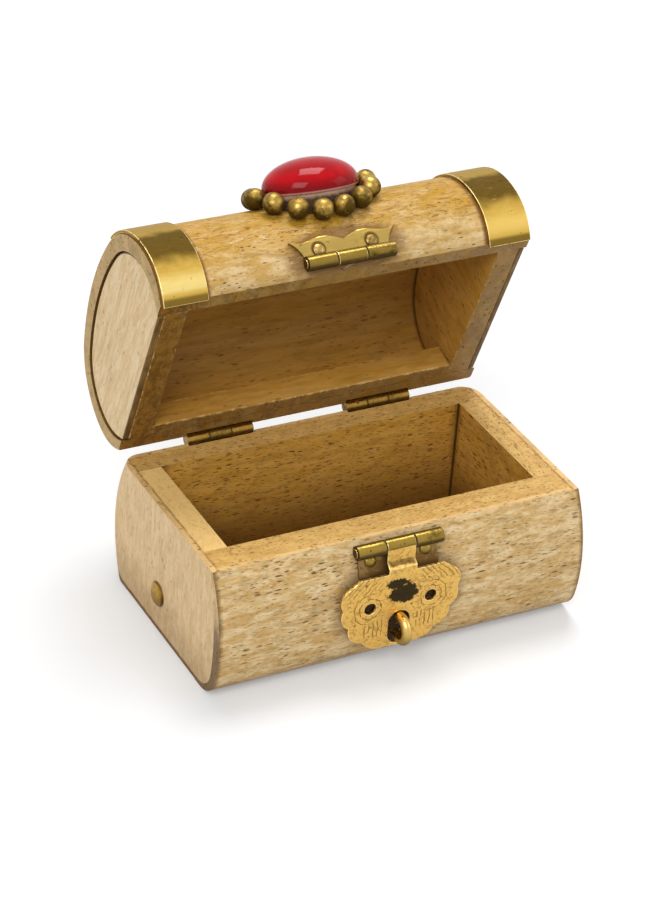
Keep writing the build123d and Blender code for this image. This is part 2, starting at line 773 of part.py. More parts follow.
# Catch plate on the lid: scalloped leaf with two knuckles, pin and middle sleeve
catch_outer = (catch_length - catch_middle_length) / 2
half_leaf = catch_leaf_length / 2
with BuildPart() as catch_plate:
    with BuildSketch(Plane.YZ.offset(catch_offset)):
        add(lid_front_band(catch_leaf_thickness, -catch_rise, shoulder_end))
    extrude(amount=half_leaf, both=True)
    with BuildSketch(Plane.XZ):
        with BuildLine():
            edge_out, edge_up = catch_edge_shares
            for side in (-1, 1):
                foot = (catch_offset + side * catch_foot_share * half_leaf, catch_z)
                waist = (catch_offset + side * edge_out * half_leaf, catch_z + edge_up * catch_leaf_rise)
                horn = (catch_offset + side * half_leaf, catch_z + catch_horn_rise_share * catch_leaf_rise)
                notch = (catch_offset, catch_z + catch_notch_share * catch_leaf_rise)
                crest = [(catch_offset + side * x * half_leaf, catch_z + z * catch_leaf_rise)
                         for x, z in catch_crest_shares]
                ThreePointArc(foot, waist, horn)
                Spline(horn, *crest, notch)
            Line((catch_offset - catch_foot_share * half_leaf, catch_z),
                 (catch_offset + catch_foot_share * half_leaf, catch_z))
        make_face()
    extrude(amount=box_length, mode=Mode.INTERSECT)
    for side in (-1, 1):
        knuckle(catch_offset + side * (catch_length - catch_outer) / 2, catch_y, catch_z,
                catch_knuckle_radius, catch_outer)
    bore(catch_offset, catch_y, catch_z, catch_knuckle_radius + swing_clearance, catch_middle_length)
    bore(catch_offset, catch_y, catch_z, catch_pin_radius, catch_length)
    nail_holes(catch_nails, nail_shank_radius, catch_nail_length)

with BuildPart() as catch_sleeve:
    knuckle(catch_offset, catch_y, catch_z, catch_knuckle_radius, catch_middle_length - 2 * knuckle_gap)
    bore(catch_offset, catch_y, catch_z, catch_pin_radius, catch_length)

catch_pin = pin(catch_offset, catch_y, catch_z, catch_pin_radius, catch_length,
                hasp_pin_head, hasp_pin_head_height)

catch_plate_nails = nails(catch_nails, nail_head_radius, nail_head_height, nail_shank_radius,
                          catch_nail_length, catch_leaf_thickness)

# Domed tack in each end of the base
base_end_tacks = nails(end_tacks, tack_head_radius, tack_head_height, tack_shank_radius,
                       tack_length, 0)

base_pieces = {
    "base_front_board": base_front_board,
    "base_back_board": base_back_board,
    "base_left_end_board": base_left_end_board,
    "base_right_end_board": base_right_end_board,
    "base_floor": base_floor,
    "base_front_panel": base_front_panel,
    "base_back_panel": base_back_panel,
    "base_left_end_panel": base_left_end_panel,
    "base_right_end_panel": base_right_end_panel,
    "base_bottom_panel": base_bottom_panel,
    "base_end_tacks": base_end_tacks,
    "left_hinge_base_leaf": left_hinge_base_leaf,
    "right_hinge_base_leaf": right_hinge_base_leaf,
    "left_hinge_pin": left_hinge_pin,
    "right_hinge_pin": right_hinge_pin,
    "hinge_base_nails": hinge_base_nails,
    "hasp_leaf": hasp_leaf,
    "hasp_pin": hasp_pin,
    "hasp_leaf_nails": hasp_leaf_nails,
    "hasp_staple": hasp_staple,
    "hasp_plate": hasp_plate,
}
lid_pieces = {
    "lid_shell": lid_shell,
    "lid_back_rail": lid_back_rail,
    "lid_left_end_board": lid_left_end_board,
    "lid_right_end_board": lid_right_end_board,
    "lid_left_end_panel": lid_left_end_panel,
    "lid_right_end_panel": lid_right_end_panel,
    "lid_left_cap": lid_left_cap,
    "lid_right_cap": lid_right_cap,
    "stone_bed": stone_bed,
    "stone": stone,
    "bead_ring": bead_ring,
    "catch_plate": catch_plate,
    "catch_sleeve": catch_sleeve,
    "catch_pin": catch_pin,
    "catch_plate_nails": catch_plate_nails,
    "left_hinge_lid_leaf": left_hinge_lid_leaf,
    "right_hinge_lid_leaf": right_hinge_lid_leaf,
    "hinge_lid_nails": hinge_lid_nails,
}

for name, piece in base_pieces.items():
    piece.part.label = name
    export_step(piece.part, f"parts/{name}.step")

for name, piece in lid_pieces.items():
    opened = piece.part.rotate(hinge_line, -lid_rest_angle)
    opened.label = name
    export_step(opened, f"parts/{name}.step")
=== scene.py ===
import json
from math import cos, radians, sin
from types import SimpleNamespace

import bmesh
import bpy
from mathutils import Matrix, Vector


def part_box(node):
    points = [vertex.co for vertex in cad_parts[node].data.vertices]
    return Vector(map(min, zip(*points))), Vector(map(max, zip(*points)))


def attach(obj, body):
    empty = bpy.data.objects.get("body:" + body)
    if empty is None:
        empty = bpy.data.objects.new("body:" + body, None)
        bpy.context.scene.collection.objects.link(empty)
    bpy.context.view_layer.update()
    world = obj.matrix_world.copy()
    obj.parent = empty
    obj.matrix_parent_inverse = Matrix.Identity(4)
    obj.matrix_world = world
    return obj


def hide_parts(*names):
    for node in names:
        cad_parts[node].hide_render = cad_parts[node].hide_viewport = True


bl_info = {
    "name": "Treasure chest box",
    "version": (1, 0, 0),
    "blender": (4, 5, 0),
    "location": "View3D > Sidebar > Chest",
    "description": "Dresses the small domed bone, wood and brass chest and sets it on a pale stage",
    "category": "Object",
}

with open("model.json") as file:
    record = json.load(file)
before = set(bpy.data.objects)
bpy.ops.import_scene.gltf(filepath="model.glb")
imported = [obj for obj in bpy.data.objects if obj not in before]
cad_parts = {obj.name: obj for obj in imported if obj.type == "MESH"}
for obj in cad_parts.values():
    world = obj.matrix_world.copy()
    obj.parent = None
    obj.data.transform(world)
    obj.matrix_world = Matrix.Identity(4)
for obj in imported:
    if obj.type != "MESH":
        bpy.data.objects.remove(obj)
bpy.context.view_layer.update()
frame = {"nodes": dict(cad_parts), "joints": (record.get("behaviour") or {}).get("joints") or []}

MM = 0.001


def mm(*sizes_in_mm):
    """Sizes given in millimetres."""
    return tuple(size * MM for size in sizes_in_mm)


def tone(text):
    """Linear colour from a six-figure screen colour."""
    parts = [int(text[i:i + 2], 16) / 255 for i in (0, 2, 4)]
    return tuple(p / 12.92 if p <= 0.04045 else ((p + 0.055) / 1.055) ** 2.4 for p in parts) + (1.0,)


def between(a, b, share):
    """Colour between two others."""
    return tuple(x + (y - x) * share for x, y in zip(a, b))


def corners(node):
    """Low and high corner of a CAD node."""
    low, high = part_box(node)
    return Vector(low), Vector(high)


def middle(node):
    """Middle of a CAD node's box."""
    low, high = corners(node)
    return (low + high) / 2


def joint_place(name):
    """Place of a joint's axis."""
    return next(Vector(joint["pos_m"]) for joint in frame["joints"] if joint["name"] == name)


# Places on the box, from the frame

HINGE = joint_place("lid_hinge")
HINGE_X = middle("right_hinge_pin").x
HASP = joint_place("hasp_hinge")
CATCH_X = middle("catch_sleeve").x
TACK = middle("base_end_tacks")
TACK_RADIUS = corners("base_end_tacks")[1].z - TACK.z
FLOOR_LEVEL = corners("base_floor")[1].z
RIM_LEVEL = corners("base_front_board")[1].z
LID_RIM_LEVEL = RIM_LEVEL + 0.1 * MM
HALF_LENGTH = corners("base_front_panel")[1].x
LID_HALF_INSIDE = corners("lid_right_end_board")[0].x

# Curve of the shut lid and the stone's place on it

LID_CORE = Vector((0, -0.75 * MM, LID_RIM_LEVEL + 8 * MM))
SHOULDER = Vector((0, -10.45 * MM, 34.4 * MM))
STONE_TILT = radians(43.3)
STONE_OUT = Vector((0, -cos(STONE_TILT), sin(STONE_TILT)))
STONE_SEAT = SHOULDER + 15 * MM * STONE_OUT

# Sizes on the fittings

KNUCKLE_JOINT_OUT = 3 * MM
HINGE_JOINT_OUT = 2.3 * MM
BARREL_REACH = 1.45 * MM
BAND_WIDTH = 9.2 * MM
HOLE_OUT = 6.3 * MM
HOLE_LEVEL = 14.2 * MM

# Rounded edges

HIDDEN_EDGE = 0.1 * MM
PIN_EDGE = 0.06 * MM
BED_EDGE = 0.15 * MM
STONE_EDGE = 0.2 * MM
END_BOARD_EDGE = 0.2 * MM
RAIL_EDGE = 0.3 * MM
END_PANEL_EDGE = 0.3 * MM
SHARP = radians(32)

# Colours of marks, stains, fittings, and painted light and shade

shade = SimpleNamespace(**{name: tone(text) for name, text in dict(
    white="ffffff", black="000000",
    # Pale edge tones on bone, wood and brass: partly worn, partly a painted highlight along the bevels.
    pale_blot="f1dfba", hair_mark="946229", rubbed_bone="f6e2b4", wax="f3cf86", rubbed_wood="f7dca0",
    brass_spot="3c2708", scratch="f7dc94", rubbed_brass="f6dd98", polished_brass="ffeea4",
    cut_line="6a4812", smudge="2b231a", old_dirt="2a1806", panel_foot="8a6030", end_foot="8a6538",
    tack_ring="4a3018", sawn_low="5c3e1a", rim_bone="e6bd7e", rim_bone_dark="c09a60", joint="7a4410",
    corner_seam="2c1806", worn_wax="a8782c", sunlit_wax="ffd68c", lid_brown="8a5a1c", squiggle="a06a26",
    shell_end="c6a368", lid_seam="33200a", lid_rim_left="8a5e1c", lid_rim_blot="4e3210",
    lid_end="f3daae", lid_end_edge="4a2f12", lid_end_rim="6a4a1c", lid_end_rim_dark="452e10",
    stone_cloud="930008", stone_foot="5c0004", stone_crown="86000c", stone_skirt="d9a59a",
    cement_dirty="b9965e", cement_foot="3a230c",
    band="d8b254", band_dull="5a4511", bead="b8974e", bead_dull="54400f", catch="b2954f",
    catch_knuckle="957a38", catch_nail="b8985c", knuckle_dull="4a3812", hinge="a07c38",
    hasp_leaf="c2a06a", hasp_leaf_dull="76592f", hasp_knuckle="9f833c", plate="ffd074",
    plate_dull="a07a30", staple="dcb868", tack="b8934a").items()})


# Settings in the sidebar

def length_setting(name, description, default):
    """Length that can be set in the sidebar."""
    return bpy.props.FloatProperty(name=name, description=description, default=default, unit="LENGTH")


def angle_setting(name, description, degrees):
    """Angle that can be set in the sidebar."""
    return bpy.props.FloatProperty(
        name=name, description=description, default=radians(degrees), subtype="ANGLE")


def power_setting(name, description, default):
    """Power of a light that can be set in the sidebar."""
    return bpy.props.FloatProperty(name=name, description=description, default=default, unit="POWER")


def share_setting(name, description, default):
    """Share of one that can be set in the sidebar."""
    return bpy.props.FloatProperty(name=name, description=description, default=default, subtype="FACTOR")


def colour_setting(name, description, text):
    """Colour that can be set in the sidebar, with its default given as a screen colour."""
    return bpy.props.FloatVectorProperty(
        name=name, description=description, size=4, min=0, max=1, subtype="COLOR", default=tone(text))


class ChestSizes(bpy.types.PropertyGroup):
    """Sizes that change how the pieces are finished."""

    lid_angle: angle_setting("Lid angle", "Angle at which the lid stands open", 68)
    wood_edge: length_setting("Wood edge", "Rounding of the worn wooden edges", 0.35 * MM)
    bone_edge: length_setting("Bone edge", "Rounding of the edges of the bone panels", 0.22 * MM)
    brass_edge: length_setting("Brass edge", "Rounding of the edges of the sheet brass", 0.12 * MM)
    fleck_length: length_setting("Fleck length", "Usual length of the dark flecks in the bone", 2.3 * MM)
    fleck_thickness: length_setting(
        "Fleck thickness", "Usual thickness of the dark flecks in the bone", 0.46 * MM)


class ChestColours(bpy.types.PropertyGroup):
    """Colours of the finishes."""

    bone_pale: colour_setting("Pale bone", "Palest parts of the bone panels", "ead0a0")
    bone_warm: colour_setting("Warm bone", "Warmer parts of the bone panels", "cfa869")
    bone_olive: colour_setting("Stained bone", "Olive stains on the bone panels", "ab8f5a")
    bone_end: colour_setting("End bone", "Pale bone of the ends", "f3d2a2")
    fleck: colour_setting("Fleck", "Dark flecks and pores", "5c3010")
    rim_wood: colour_setting("Rim wood", "Waxed wood of the rim", "e4b96e")
    inner_wood: colour_setting("Inner wood", "Wood of the inside", "dba342")
    # This dark also paints the shade inside the base and the lid, along the box's sides and beside the lid's
    # bands.
    dark_wood: colour_setting("Dark wood", "Soiled wood in the corners and along edges", "6e4514")
    lid_stain: colour_setting("Lid stain", "Yellow-orange stains on the lid", "b88a20")
    brass_tarnish: colour_setting("Tarnished brass", "Dull brown-green brass", "5f4919")
    stone_red: colour_setting("Stone", "Deep red of the stone", "e20012")
    cement: colour_setting("Cement", "Pale setting cement", "c9a48c")
    floor: colour_setting("Floor", "Pale floor", "d2d3d4")


class ChestStage(bpy.types.PropertyGroup):
    """Camera and light."""

    azimuth: angle_setting("Azimuth", "Camera's turn to the left of the front", -29.34)
    elevation: angle_setting("Elevation", "Camera's height over the horizon", 31.79)
    roll: angle_setting("Roll", "Camera's lean about its own line of sight", 4.34)
    distance: length_setting("Distance", "Camera's distance from the middle of the underside", 565.3 * MM)
    lens: bpy.props.FloatProperty(
        name="Lens", description="Focal length on a 36 mm wide sensor",
        default=2935 * 36 / 660, unit="CAMERA")
    across: length_setting("Across", "Sideways step of the camera", -1.935 * MM)
    upward: length_setting("Upward", "Upward step of the camera", 27.037 * MM)
    key_power: power_setting("Key light", "Power of the large light over the left shoulder", 18.5)
    fill_power: power_setting("Fill light", "Power of the light from the right", 3.2)
    top_power: power_setting("Top light", "Power of the light from above and behind", 24.0)
    sky: share_setting("Room light", "Strength of the even light from all round", 0.38)
    floor_glow: share_setting(
        "Floor whiteness", "How much the floor is lifted towards white where it is looked at", 0.26)


def chosen():
    """Sizes chosen in the sidebar."""
    return bpy.context.scene.chest_sizes


def hues():
    """Colours chosen in the sidebar."""
    return bpy.context.scene.chest_colours


# Sums with shader nodes

class Field:
    """Something that changes over a surface, held as an output of its node tree."""

    kind = "NodeSocketColor"

    def __init__(self, socket):
        self.socket = socket
        self.tree = socket.id_data


def put(tree, kind, inputs=(), **settings):
    """A node with its settings made and its inputs set or joined."""
    node = tree.nodes.new(kind)
    for key, value in settings.items():
        setattr(node, key, value)
    for key, value in dict(inputs).items():
        if isinstance(value, Field):
            tree.links.new(value.socket, node.inputs[key])
        else:
            node.inputs[key].default_value = value
    return node


def sums(kind, operation, swapped=False, out=0):
    """Method that works out a sum of a field and other terms with a node of that kind."""
    def method(self, *others):
        terms = (*others, self) if swapped else (self, *others)
        return field(put(self.tree, kind, enumerate(terms), operation=operation).outputs[out])
    return method


class Value(Field):
    """A number that changes over a surface."""

    kind = "NodeSocketFloat"
    __add__ = sums("ShaderNodeMath", "ADD")
    __sub__ = sums("ShaderNodeMath", "SUBTRACT")
    __rsub__ = sums("ShaderNodeMath", "SUBTRACT", swapped=True)
    __mul__ = sums("ShaderNodeMath", "MULTIPLY")
    __truediv__ = sums("ShaderNodeMath", "DIVIDE")
    __rtruediv__ = sums("ShaderNodeMath", "DIVIDE", swapped=True)
    __abs__ = sums("ShaderNodeMath", "ABSOLUTE")
    most = sums("ShaderNodeMath", "MAXIMUM")
    least = sums("ShaderNodeMath", "MINIMUM")
    below = sums("ShaderNodeMath", "LESS_THAN")
    folded = sums("ShaderNodeMath", "PINGPONG")
    root = sums("ShaderNodeMath", "SQRT")

    def ramp(self, low, high, first=0.0, last=1.0):
        """Smooth step between two limits."""
        limits = {"Value": self, "From Min": low, "From Max": high, "To Min": first, "To Max": last}
        return field(put(self.tree, "ShaderNodeMapRange", limits, interpolation_type="SMOOTHSTEP").outputs[0])


class Place(Field):
    """A place or direction that changes over a surface."""

    kind = "NodeSocketVector"
    __add__ = sums("ShaderNodeVectorMath", "ADD")
    __sub__ = sums("ShaderNodeVectorMath", "SUBTRACT")
    __mul__ = sums("ShaderNodeVectorMath", "MULTIPLY")
    __truediv__ = sums("ShaderNodeVectorMath", "DIVIDE")
    least = sums("ShaderNodeVectorMath", "MINIMUM")
    dot = sums("ShaderNodeVectorMath", "DOT_PRODUCT", out="Value")
    length = sums("ShaderNodeVectorMath", "LENGTH", out="Value")
    x = property(lambda self: self.part("X"))
    y = property(lambda self: self.part("Y"))
    z = property(lambda self: self.part("Z"))

    def part(self, way):
        """One of its three numbers."""
        return field(put(self.tree, "ShaderNodeSeparateXYZ", {0: self}).outputs[way])

    def scaled(self, times):
        """The same, so many times as long."""
        inputs = {0: self, "Scale": times}
        return field(put(self.tree, "ShaderNodeVectorMath", inputs, operation="SCALE").outputs[0])


def field(socket):
    """An output as the field that it gives."""
    return {"VALUE": Value, "VECTOR": Place}.get(socket.type, Field)(socket)


def lay(under, over, share, blend="MIX"):
    """A colour with another laid over it as far as share says."""
    tree = next(each.tree for each in (share, under, over) if isinstance(each, Field))
    inputs = {0: share, 6: under, 7: over}
    return field(put(tree, "ShaderNodeMix", inputs, data_type="RGBA", blend_type=blend).outputs[2])


def noise(place, size=1.0, detail=3.0, roughness=0.55, distortion=0.0):
    """Soft noise whose patches are about size across."""
    inputs = {"Vector": place, "Scale": 1.0 / size, "Detail": detail, "Roughness": roughness,
              "Distortion": distortion}
    return field(put(place.tree, "ShaderNodeTexNoise", inputs).outputs[0])


def facing(place):
    """Way that the surface faces."""
    return field(put(place.tree, "ShaderNodeTexCoord").outputs["Normal"])


def socket_kind(default):
    """Kind of socket for a number, a place or a colour."""
    if isinstance(default, float):
        return Value.kind
    return Place.kind if len(default) == 3 else Field.kind


class Effect:
    """Shader node group with named inputs and outputs, built once and placed in each material."""

    def __init__(self, name, build, inputs):
        self.name = name
        self.build = build
        self.inputs = inputs

    def make(self):
        """Builds the group from its function."""
        group = bpy.data.node_groups.new(self.name, "ShaderNodeTree")
        for label, default in self.inputs.items():
            kind = socket_kind(default)
            group.interface.new_socket(label, in_out="INPUT", socket_type=kind).default_value = default
        given = group.nodes.new("NodeGroupInput").outputs
        made = self.build(*[field(given[label]) for label in self.inputs])
        for label, each in made.items():
            group.interface.new_socket(label, in_out="OUTPUT", socket_type=each.kind)
        end = group.nodes.new("NodeGroupOutput")
        for label, each in made.items():
            group.links.new(each.socket, end.inputs[label])
        return group

    def __call__(self, *values):
        """Places the group, with values for its inputs in their order, and gives its outputs."""
        group = bpy.data.node_groups.get(self.name) or self.make()
        tree = next(value.tree for value in values if isinstance(value, Field))
        node = put(tree, "ShaderNodeGroup", zip(self.inputs, values), node_tree=group)
        fields = [field(socket) for socket in node.outputs]
        return fields[0] if len(fields) == 1 else fields


def effect(name, **inputs):
    """Makes a function an effect whose inputs have these names and defaults."""
    return lambda build: Effect(name, build, inputs)


NOWHERE = (0.0, 0.0, 0.0)
EVEN = (1.0, 1.0, 1.0)


# Effects that several materials share

@effect("Ragged edge", Place=NOWHERE, Size=0.001, Reach=0.001, Detail=4.0, Roughness=0.55)
def ragged(place, size, reach, detail, roughness):
    """Push of up to half of Reach either way, so that an edge doesn't run straight."""
    return {"Push": (noise(place, size, detail, roughness) - 0.5) * reach}


@effect("Jostled places", Place=NOWHERE, Scale=500.0, Reach=NOWHERE)
def jostled(place, scale, reach):
    """Place pushed about at random, so that a drawn line isn't straight."""
    inputs = {"Vector": place, "Scale": scale, "Detail": 2.0}
    push = Place(put(place.tree, "ShaderNodeTexNoise", inputs).outputs["Color"]) - (0.5, 0.5, 0.5)
    return {"Place": place + push * reach}


@effect("Short dark flecks", Place=NOWHERE, Cell=mm(3, 3, 0.6), Share=0.5, Shift=NOWHERE)
def flecks(place, cell, share, shift):
    """One mark to a cell, drawn out as the cell is, in a share of the cells."""
    place = jostled(place, 420.0, cell * (0.35, 0.9, 0.9)) + shift
    cells = put(place.tree, "ShaderNodeTexVoronoi", {"Vector": place / cell, "Scale": 1.0}).outputs
    chance = put(place.tree, "ShaderNodeSeparateColor", {0: field(cells["Color"])}).outputs
    size, kept, strength = (field(each) for each in chance)
    reach = size * 0.30 + 0.14
    mark = field(cells["Distance"]).ramp(reach * 0.55, reach, 1.0, 0.0)
    return {"Mask": mark * kept.below(share) * (strength * 0.65 + 0.35)}


@effect("Soft patches", Place=NOWHERE, Cell=mm(6, 6, 6), Middle=0.5, Blur=0.1, Ragged=0.5)
def patches(place, cell, level, blur, raggedness):
    """Cloudy patches drawn out as the cell is; a higher Middle leaves fewer."""
    return {"Mask": noise(place / cell, 1.0, 4.0, 0.6, raggedness).ramp(level - blur, level + blur)}


@effect("Rubbed edges", Place=NOWHERE, Share=0.3)
def wear(place, share):
    """Broken mask on the faces that the bevel made, for edges that are partly worn and partly a painted
    highlight.
    """
    edge = field(put(place.tree, "ShaderNodeAttribute", attribute_name="edge").outputs["Fac"])
    return {"Mask": edge * noise(place, 1.3 * MM, 4.0, 0.65).ramp(0.75 - share, 0.95 - share)}


@effect("Soiled along the sides", Place=NOWHERE, Low=NOWHERE, High=NOWHERE, Width=0.001)
def soiled_sides(place, low, high, width):
    """Soiling and painted shade near the sides of a box between two corners."""
    inside = (place - low).least(high - place)
    near = inside.x.least(inside.y).least(inside.z) + ragged(place, 2.2 * MM, width, 4.0, 0.6)
    return {"Mask": near.ramp(0.0, width, 1.0, 0.0)}


@effect("Oval spot", Place=NOWHERE, X=0.0, Z=0.0, Wide=0.001, High=0.001)
def oval(place, x, z, wide, high):
    """Distance from a spot on the front, seen square on, where one is the edge of the oval."""
    across = (place.x - x) / wide
    up = (place.z - z) / high
    return {"Distance": (across * across + up * up).root()}


@effect("Rings round two nails", Place=NOWHERE, Level=0.0, Left=0.0, Right=0.0)
def nail_rings(place, level, left, right):
    """Dark rings round two nail heads, seen square on from the front."""
    rings = [oval(place, x, level, 1 * MM, 1 * MM).ramp(1.25, 1.75, 0.95, 0.0) for x in (left, right)]
    return {"Mask": rings[0].most(rings[1])}


@effect("Knuckle joints", Place=NOWHERE, First=0.0, Second=0.0)
def knuckle_joints(place, first, second):
    """Dark lines across a rolled barrel where one knuckle ends and the next begins."""
    lines = [abs(place.x - x).ramp(0.10 * MM, 0.36 * MM, 1.0, 0.0) for x in (first, second)]
    return {"Mask": lines[0].most(lines[1])}


@effect("Off the crest", Facing=NOWHERE)
def off_crest(way):
    """Painted shade: how far a rolled knuckle turns away from its lit crest, which faces up and to the front.
    """
    return {"Mask": way.dot((0, -0.6, 0.8)).ramp(0.5, 0.95, 0.95, 0.0)}


@effect("Panel joints", Place=NOWHERE)
def panel_joints(place):
    """Broken dark line on the rim where the bone panels meet the boards."""
    low, high = corners("base_front_board")[0], corners("base_back_board")[1]
    sides = abs(place.y - low.y).least(abs(place.y - high.y))
    off = abs(abs(place.x) - high.x).least(sides)
    broken = noise(place, 1.2 * MM).ramp(0.38, 0.56, 0.4, 1.0)
    return {"Mask": off.ramp(0.10 * MM, 0.34 * MM, 0.6, 0.0) * broken}


@effect("Bone streaks and stains", Place=NOWHERE, Grain=EVEN, Pale=shade.white, Warm=shade.white,
        Stained=shade.white, Faint=0.0)
def bone_ground(place, grain, pale, warm, stained, faint):
    """Polished bone under its marks: cloudy warmth, fine streaks and olive stains."""
    streaks = noise(place / grain.scaled(0.7 * MM), 1.0, 5.0, 0.65, 0.4)
    cloud = patches(place, grain.scaled(1.5 * MM), 0.5, 0.13, 0.8)
    olive = patches(place + mm(30, 10, 20), grain.scaled(1.5 * MM), 0.58, 0.10, 1.0)
    tint = lay(lay(pale, warm, cloud), warm, streaks.ramp(0.4, 0.68, 0.0, 0.45))
    return {"Colour": lay(tint, stained, olive * ((1.0 - faint) * 0.6)), "Streaks": streaks}


@effect("Bone marks", Place=NOWHERE, Grain=EVEN, Cell=EVEN, Share=0.5, Faint=0.0, Colour=shade.white,
        Fleck=shade.black, Streaks=0.5)
def bone_marks(place, grain, cell, share, faint, tint, fleck, streaks):
    """Dark flecks, smaller ones, pale blots and hair marks over a bone's colour."""
    dark = flecks(place, cell, share)
    small = flecks(place, cell.scaled(0.55), share * 0.8, mm(13, 7, 21))
    hair = flecks(place, cell.scaled(0.7), share * 1.4, mm(41, 27, 33))
    light = patches(place, grain.scaled(0.8 * MM), 0.66, 0.1, 0.8)
    marks = dark.most(small * 0.8) * noise(place, 7 * MM, 2.0).ramp(0.38, 0.58, 0.4, 1.0)
    tint = lay(tint, shade.pale_blot, light * 0.5)
    tint = lay(tint, shade.hair_mark, hair * ((1.0 - faint) * 0.65))
    return {"Colour": lay(tint, fleck, marks * ((1.0 - faint * 0.6) * 0.9), "MULTIPLY"),
            "Roughness": marks * 0.25 + 0.42 + streaks * 0.12,
            "Height": streaks * 0.35 - marks * 0.75}


@effect("Wood grain and pores", Place=NOWHERE, Grain=EVEN, Cell=EVEN, Share=0.5, Strength=0.8,
        Main=shade.white, Dark=shade.black, Fleck=shade.black)
def wood_grain(place, grain, cell, share, strength, main_tint, dark, fleck):
    """Waxed wood: long grain, cloudy wax and small dark pores."""
    bands = noise(place / grain.scaled(1.5 * MM), 1.0, 6.0, 0.62, 0.5)
    fine = noise(place / grain.scaled(0.3 * MM), 1.0, 3.0, 0.5)
    cloud = patches(place, grain.scaled(2.2 * MM), 0.52, 0.2, 0.8)
    small = flecks(place, cell.scaled(0.6), share, mm(17, 3, 11))
    marks = flecks(place, cell, share).most(small * 0.7)
    tint = lay(main_tint, dark, bands.ramp(0.36, 0.68, 0.0, 0.75))
    tint = lay(tint, lay(main_tint, shade.wax, 0.5), cloud * 0.35)
    tint = lay(tint, dark, fine.ramp(0.55, 0.8, 0.0, 0.35))
    return {"Colour": lay(tint, fleck, marks * strength, "MULTIPLY"),
            "Roughness": marks * 0.2 + 0.38 + bands * 0.14,
            "Height": fine * 0.25 + bands * 0.3 - marks * 0.8}


@effect("Soot in the base", Place=NOWHERE, Along=0.0, Low=0.0, High=1.0, Colour=shade.white,
        Dark=shade.black)
def base_soot(place, along, low, high, tint, dark):
    """Painted shade, darker towards the floor and towards the corners at Low and High, with dark seams in the
    corners.
    """
    off = (along - low).least(high - along)
    deep = place.z.ramp(FLOOR_LEVEL, RIM_LEVEL - 6 * MM, 0.85, 0.0)
    corner = (off + ragged(place, 1.6 * MM, 2 * MM)).ramp(0.1 * MM, 2.2 * MM, 0.6, 0.0)
    seam = off.ramp(0.12 * MM, 0.55 * MM, 0.8, 0.0)
    return {"Colour": lay(lay(tint, dark, deep.most(corner)), shade.corner_seam, seam)}


@effect("Worn wax on the rim", Place=NOWHERE, Brown=0.0, Left=0.0, Colour=shade.white)
def worn_wax(place, brown, left, tint):
    """Browner patches, painted light on the wood at the left end, and the joints with the panels."""
    blots = patches(place, mm(2.6, 1.3, 1.3), 0.5, 0.12, 1.2)
    tint = lay(tint, shade.worn_wax, blots * 0.3 + brown)
    # Painted light on the left end.
    tint = lay(tint, shade.sunlit_wax, place.x.ramp(-2 * MM, 2 * MM, left, 0.0))
    return {"Colour": lay(tint, shade.joint, panel_joints(place))}


@effect("Soot in the lid", Place=NOWHERE, Colour=shade.white, Dark=shade.black)
def lid_soot(place, tint, dark):
    """Painted shade, darker towards the top of the vault, with a dark seam along each end board."""
    deep = (place.z - LID_RIM_LEVEL).ramp(0.0, 20 * MM, 0.05, 0.45)
    seam = (LID_HALF_INSIDE - abs(place.x)).ramp(0.1 * MM, 0.9 * MM, 0.75, 0.0)
    return {"Colour": lay(lay(tint, dark, deep), shade.lid_seam, seam)}


@effect("Aged brass", Place=NOWHERE, Bright=shade.white, Dull=shade.black, Tarnish=0.3, Grime=0.0,
        Polish=0.2)
def aged_brass(place, bright, dull, tarnish, grime, polish):
    """Cloudy tarnish, painted shade on faces that look down, darker where the given mask says (soiling and
    painted shade), pale worn and highlit edges, spots and fine scratches.
    """
    fine = noise(place, 0.9 * MM, 4.0, 0.65)
    cloudy = noise(place, 6 * MM, 3.0, 0.6, 0.4) * 0.65 + fine * 0.35
    # Painted shade: faces that look down are darkened as if tarnished.
    below = facing(place).z.ramp(-0.7, 0.75, 0.75, 0.0)
    # Pale bevelled edges, less tarnished: partly worn, partly a painted highlight.
    rubbed = wear(place, 0.45)
    dulled = (cloudy.ramp(0.78 - tarnish, 1.02 - tarnish) + below).most(grime).least(1.0)
    dulled = dulled * (rubbed * -0.8 + 1.0)
    spots = flecks(place, mm(0.9, 0.8, 0.9), 0.10)
    scratch = noise(place / mm(2.4, 0.16, 0.22), 1.0, 2.0, 0.5)
    tint = lay(lay(bright, dull, dulled), shade.brass_spot, spots * 0.7)
    tint = lay(tint, shade.scratch, scratch.ramp(0.62, 0.74, 0.0, 0.14))
    # The tarnish that goes out also carries the painted shade.
    return {"Colour": lay(tint, shade.rubbed_brass, rubbed * 0.75),
            "Roughness": dulled * 0.34 + polish + scratch.ramp(0.3, 0.7) * 0.10,
            "Height": fine * 0.5 + scratch * 0.25 - spots * 0.8,
            "Tarnish": dulled}


# Materials

def object_place(tree, on_lid=False):
    """Place on the piece; a lid's piece is turned back to where it lies when the lid is shut."""
    place = field(put(tree, "ShaderNodeTexCoord").outputs["Object"])
    if not on_lid:
        return place
    turn = Matrix.Rotation(chosen().lid_angle, 3, "X")
    inputs = {"Vector": place, "Rotation": (chosen().lid_angle, 0, 0), "Location": HINGE - turn @ HINGE}
    return field(put(tree, "ShaderNodeMapping", inputs, vector_type="POINT").outputs[0])


def material(name, build, on_lid=False, relief=0.1, specular=0.5):
    """Material from a function that turns the place on the piece into the shader's inputs."""
    made = bpy.data.materials.new(name)
    made.use_nodes = True
    tree = made.node_tree
    shader = tree.nodes["Principled BSDF"]
    shader.inputs["Specular IOR Level"].default_value = specular
    parts = build(object_place(tree, on_lid))
    if "Height" in parts:
        inputs = {"Height": parts.pop("Height"), "Strength": 1.0, "Distance": relief * MM}
        parts["Normal"] = field(put(tree, "ShaderNodeBump", inputs).outputs[0])
    for key, part in parts.items():
        tree.links.new(part.socket, shader.inputs[key])
    return made


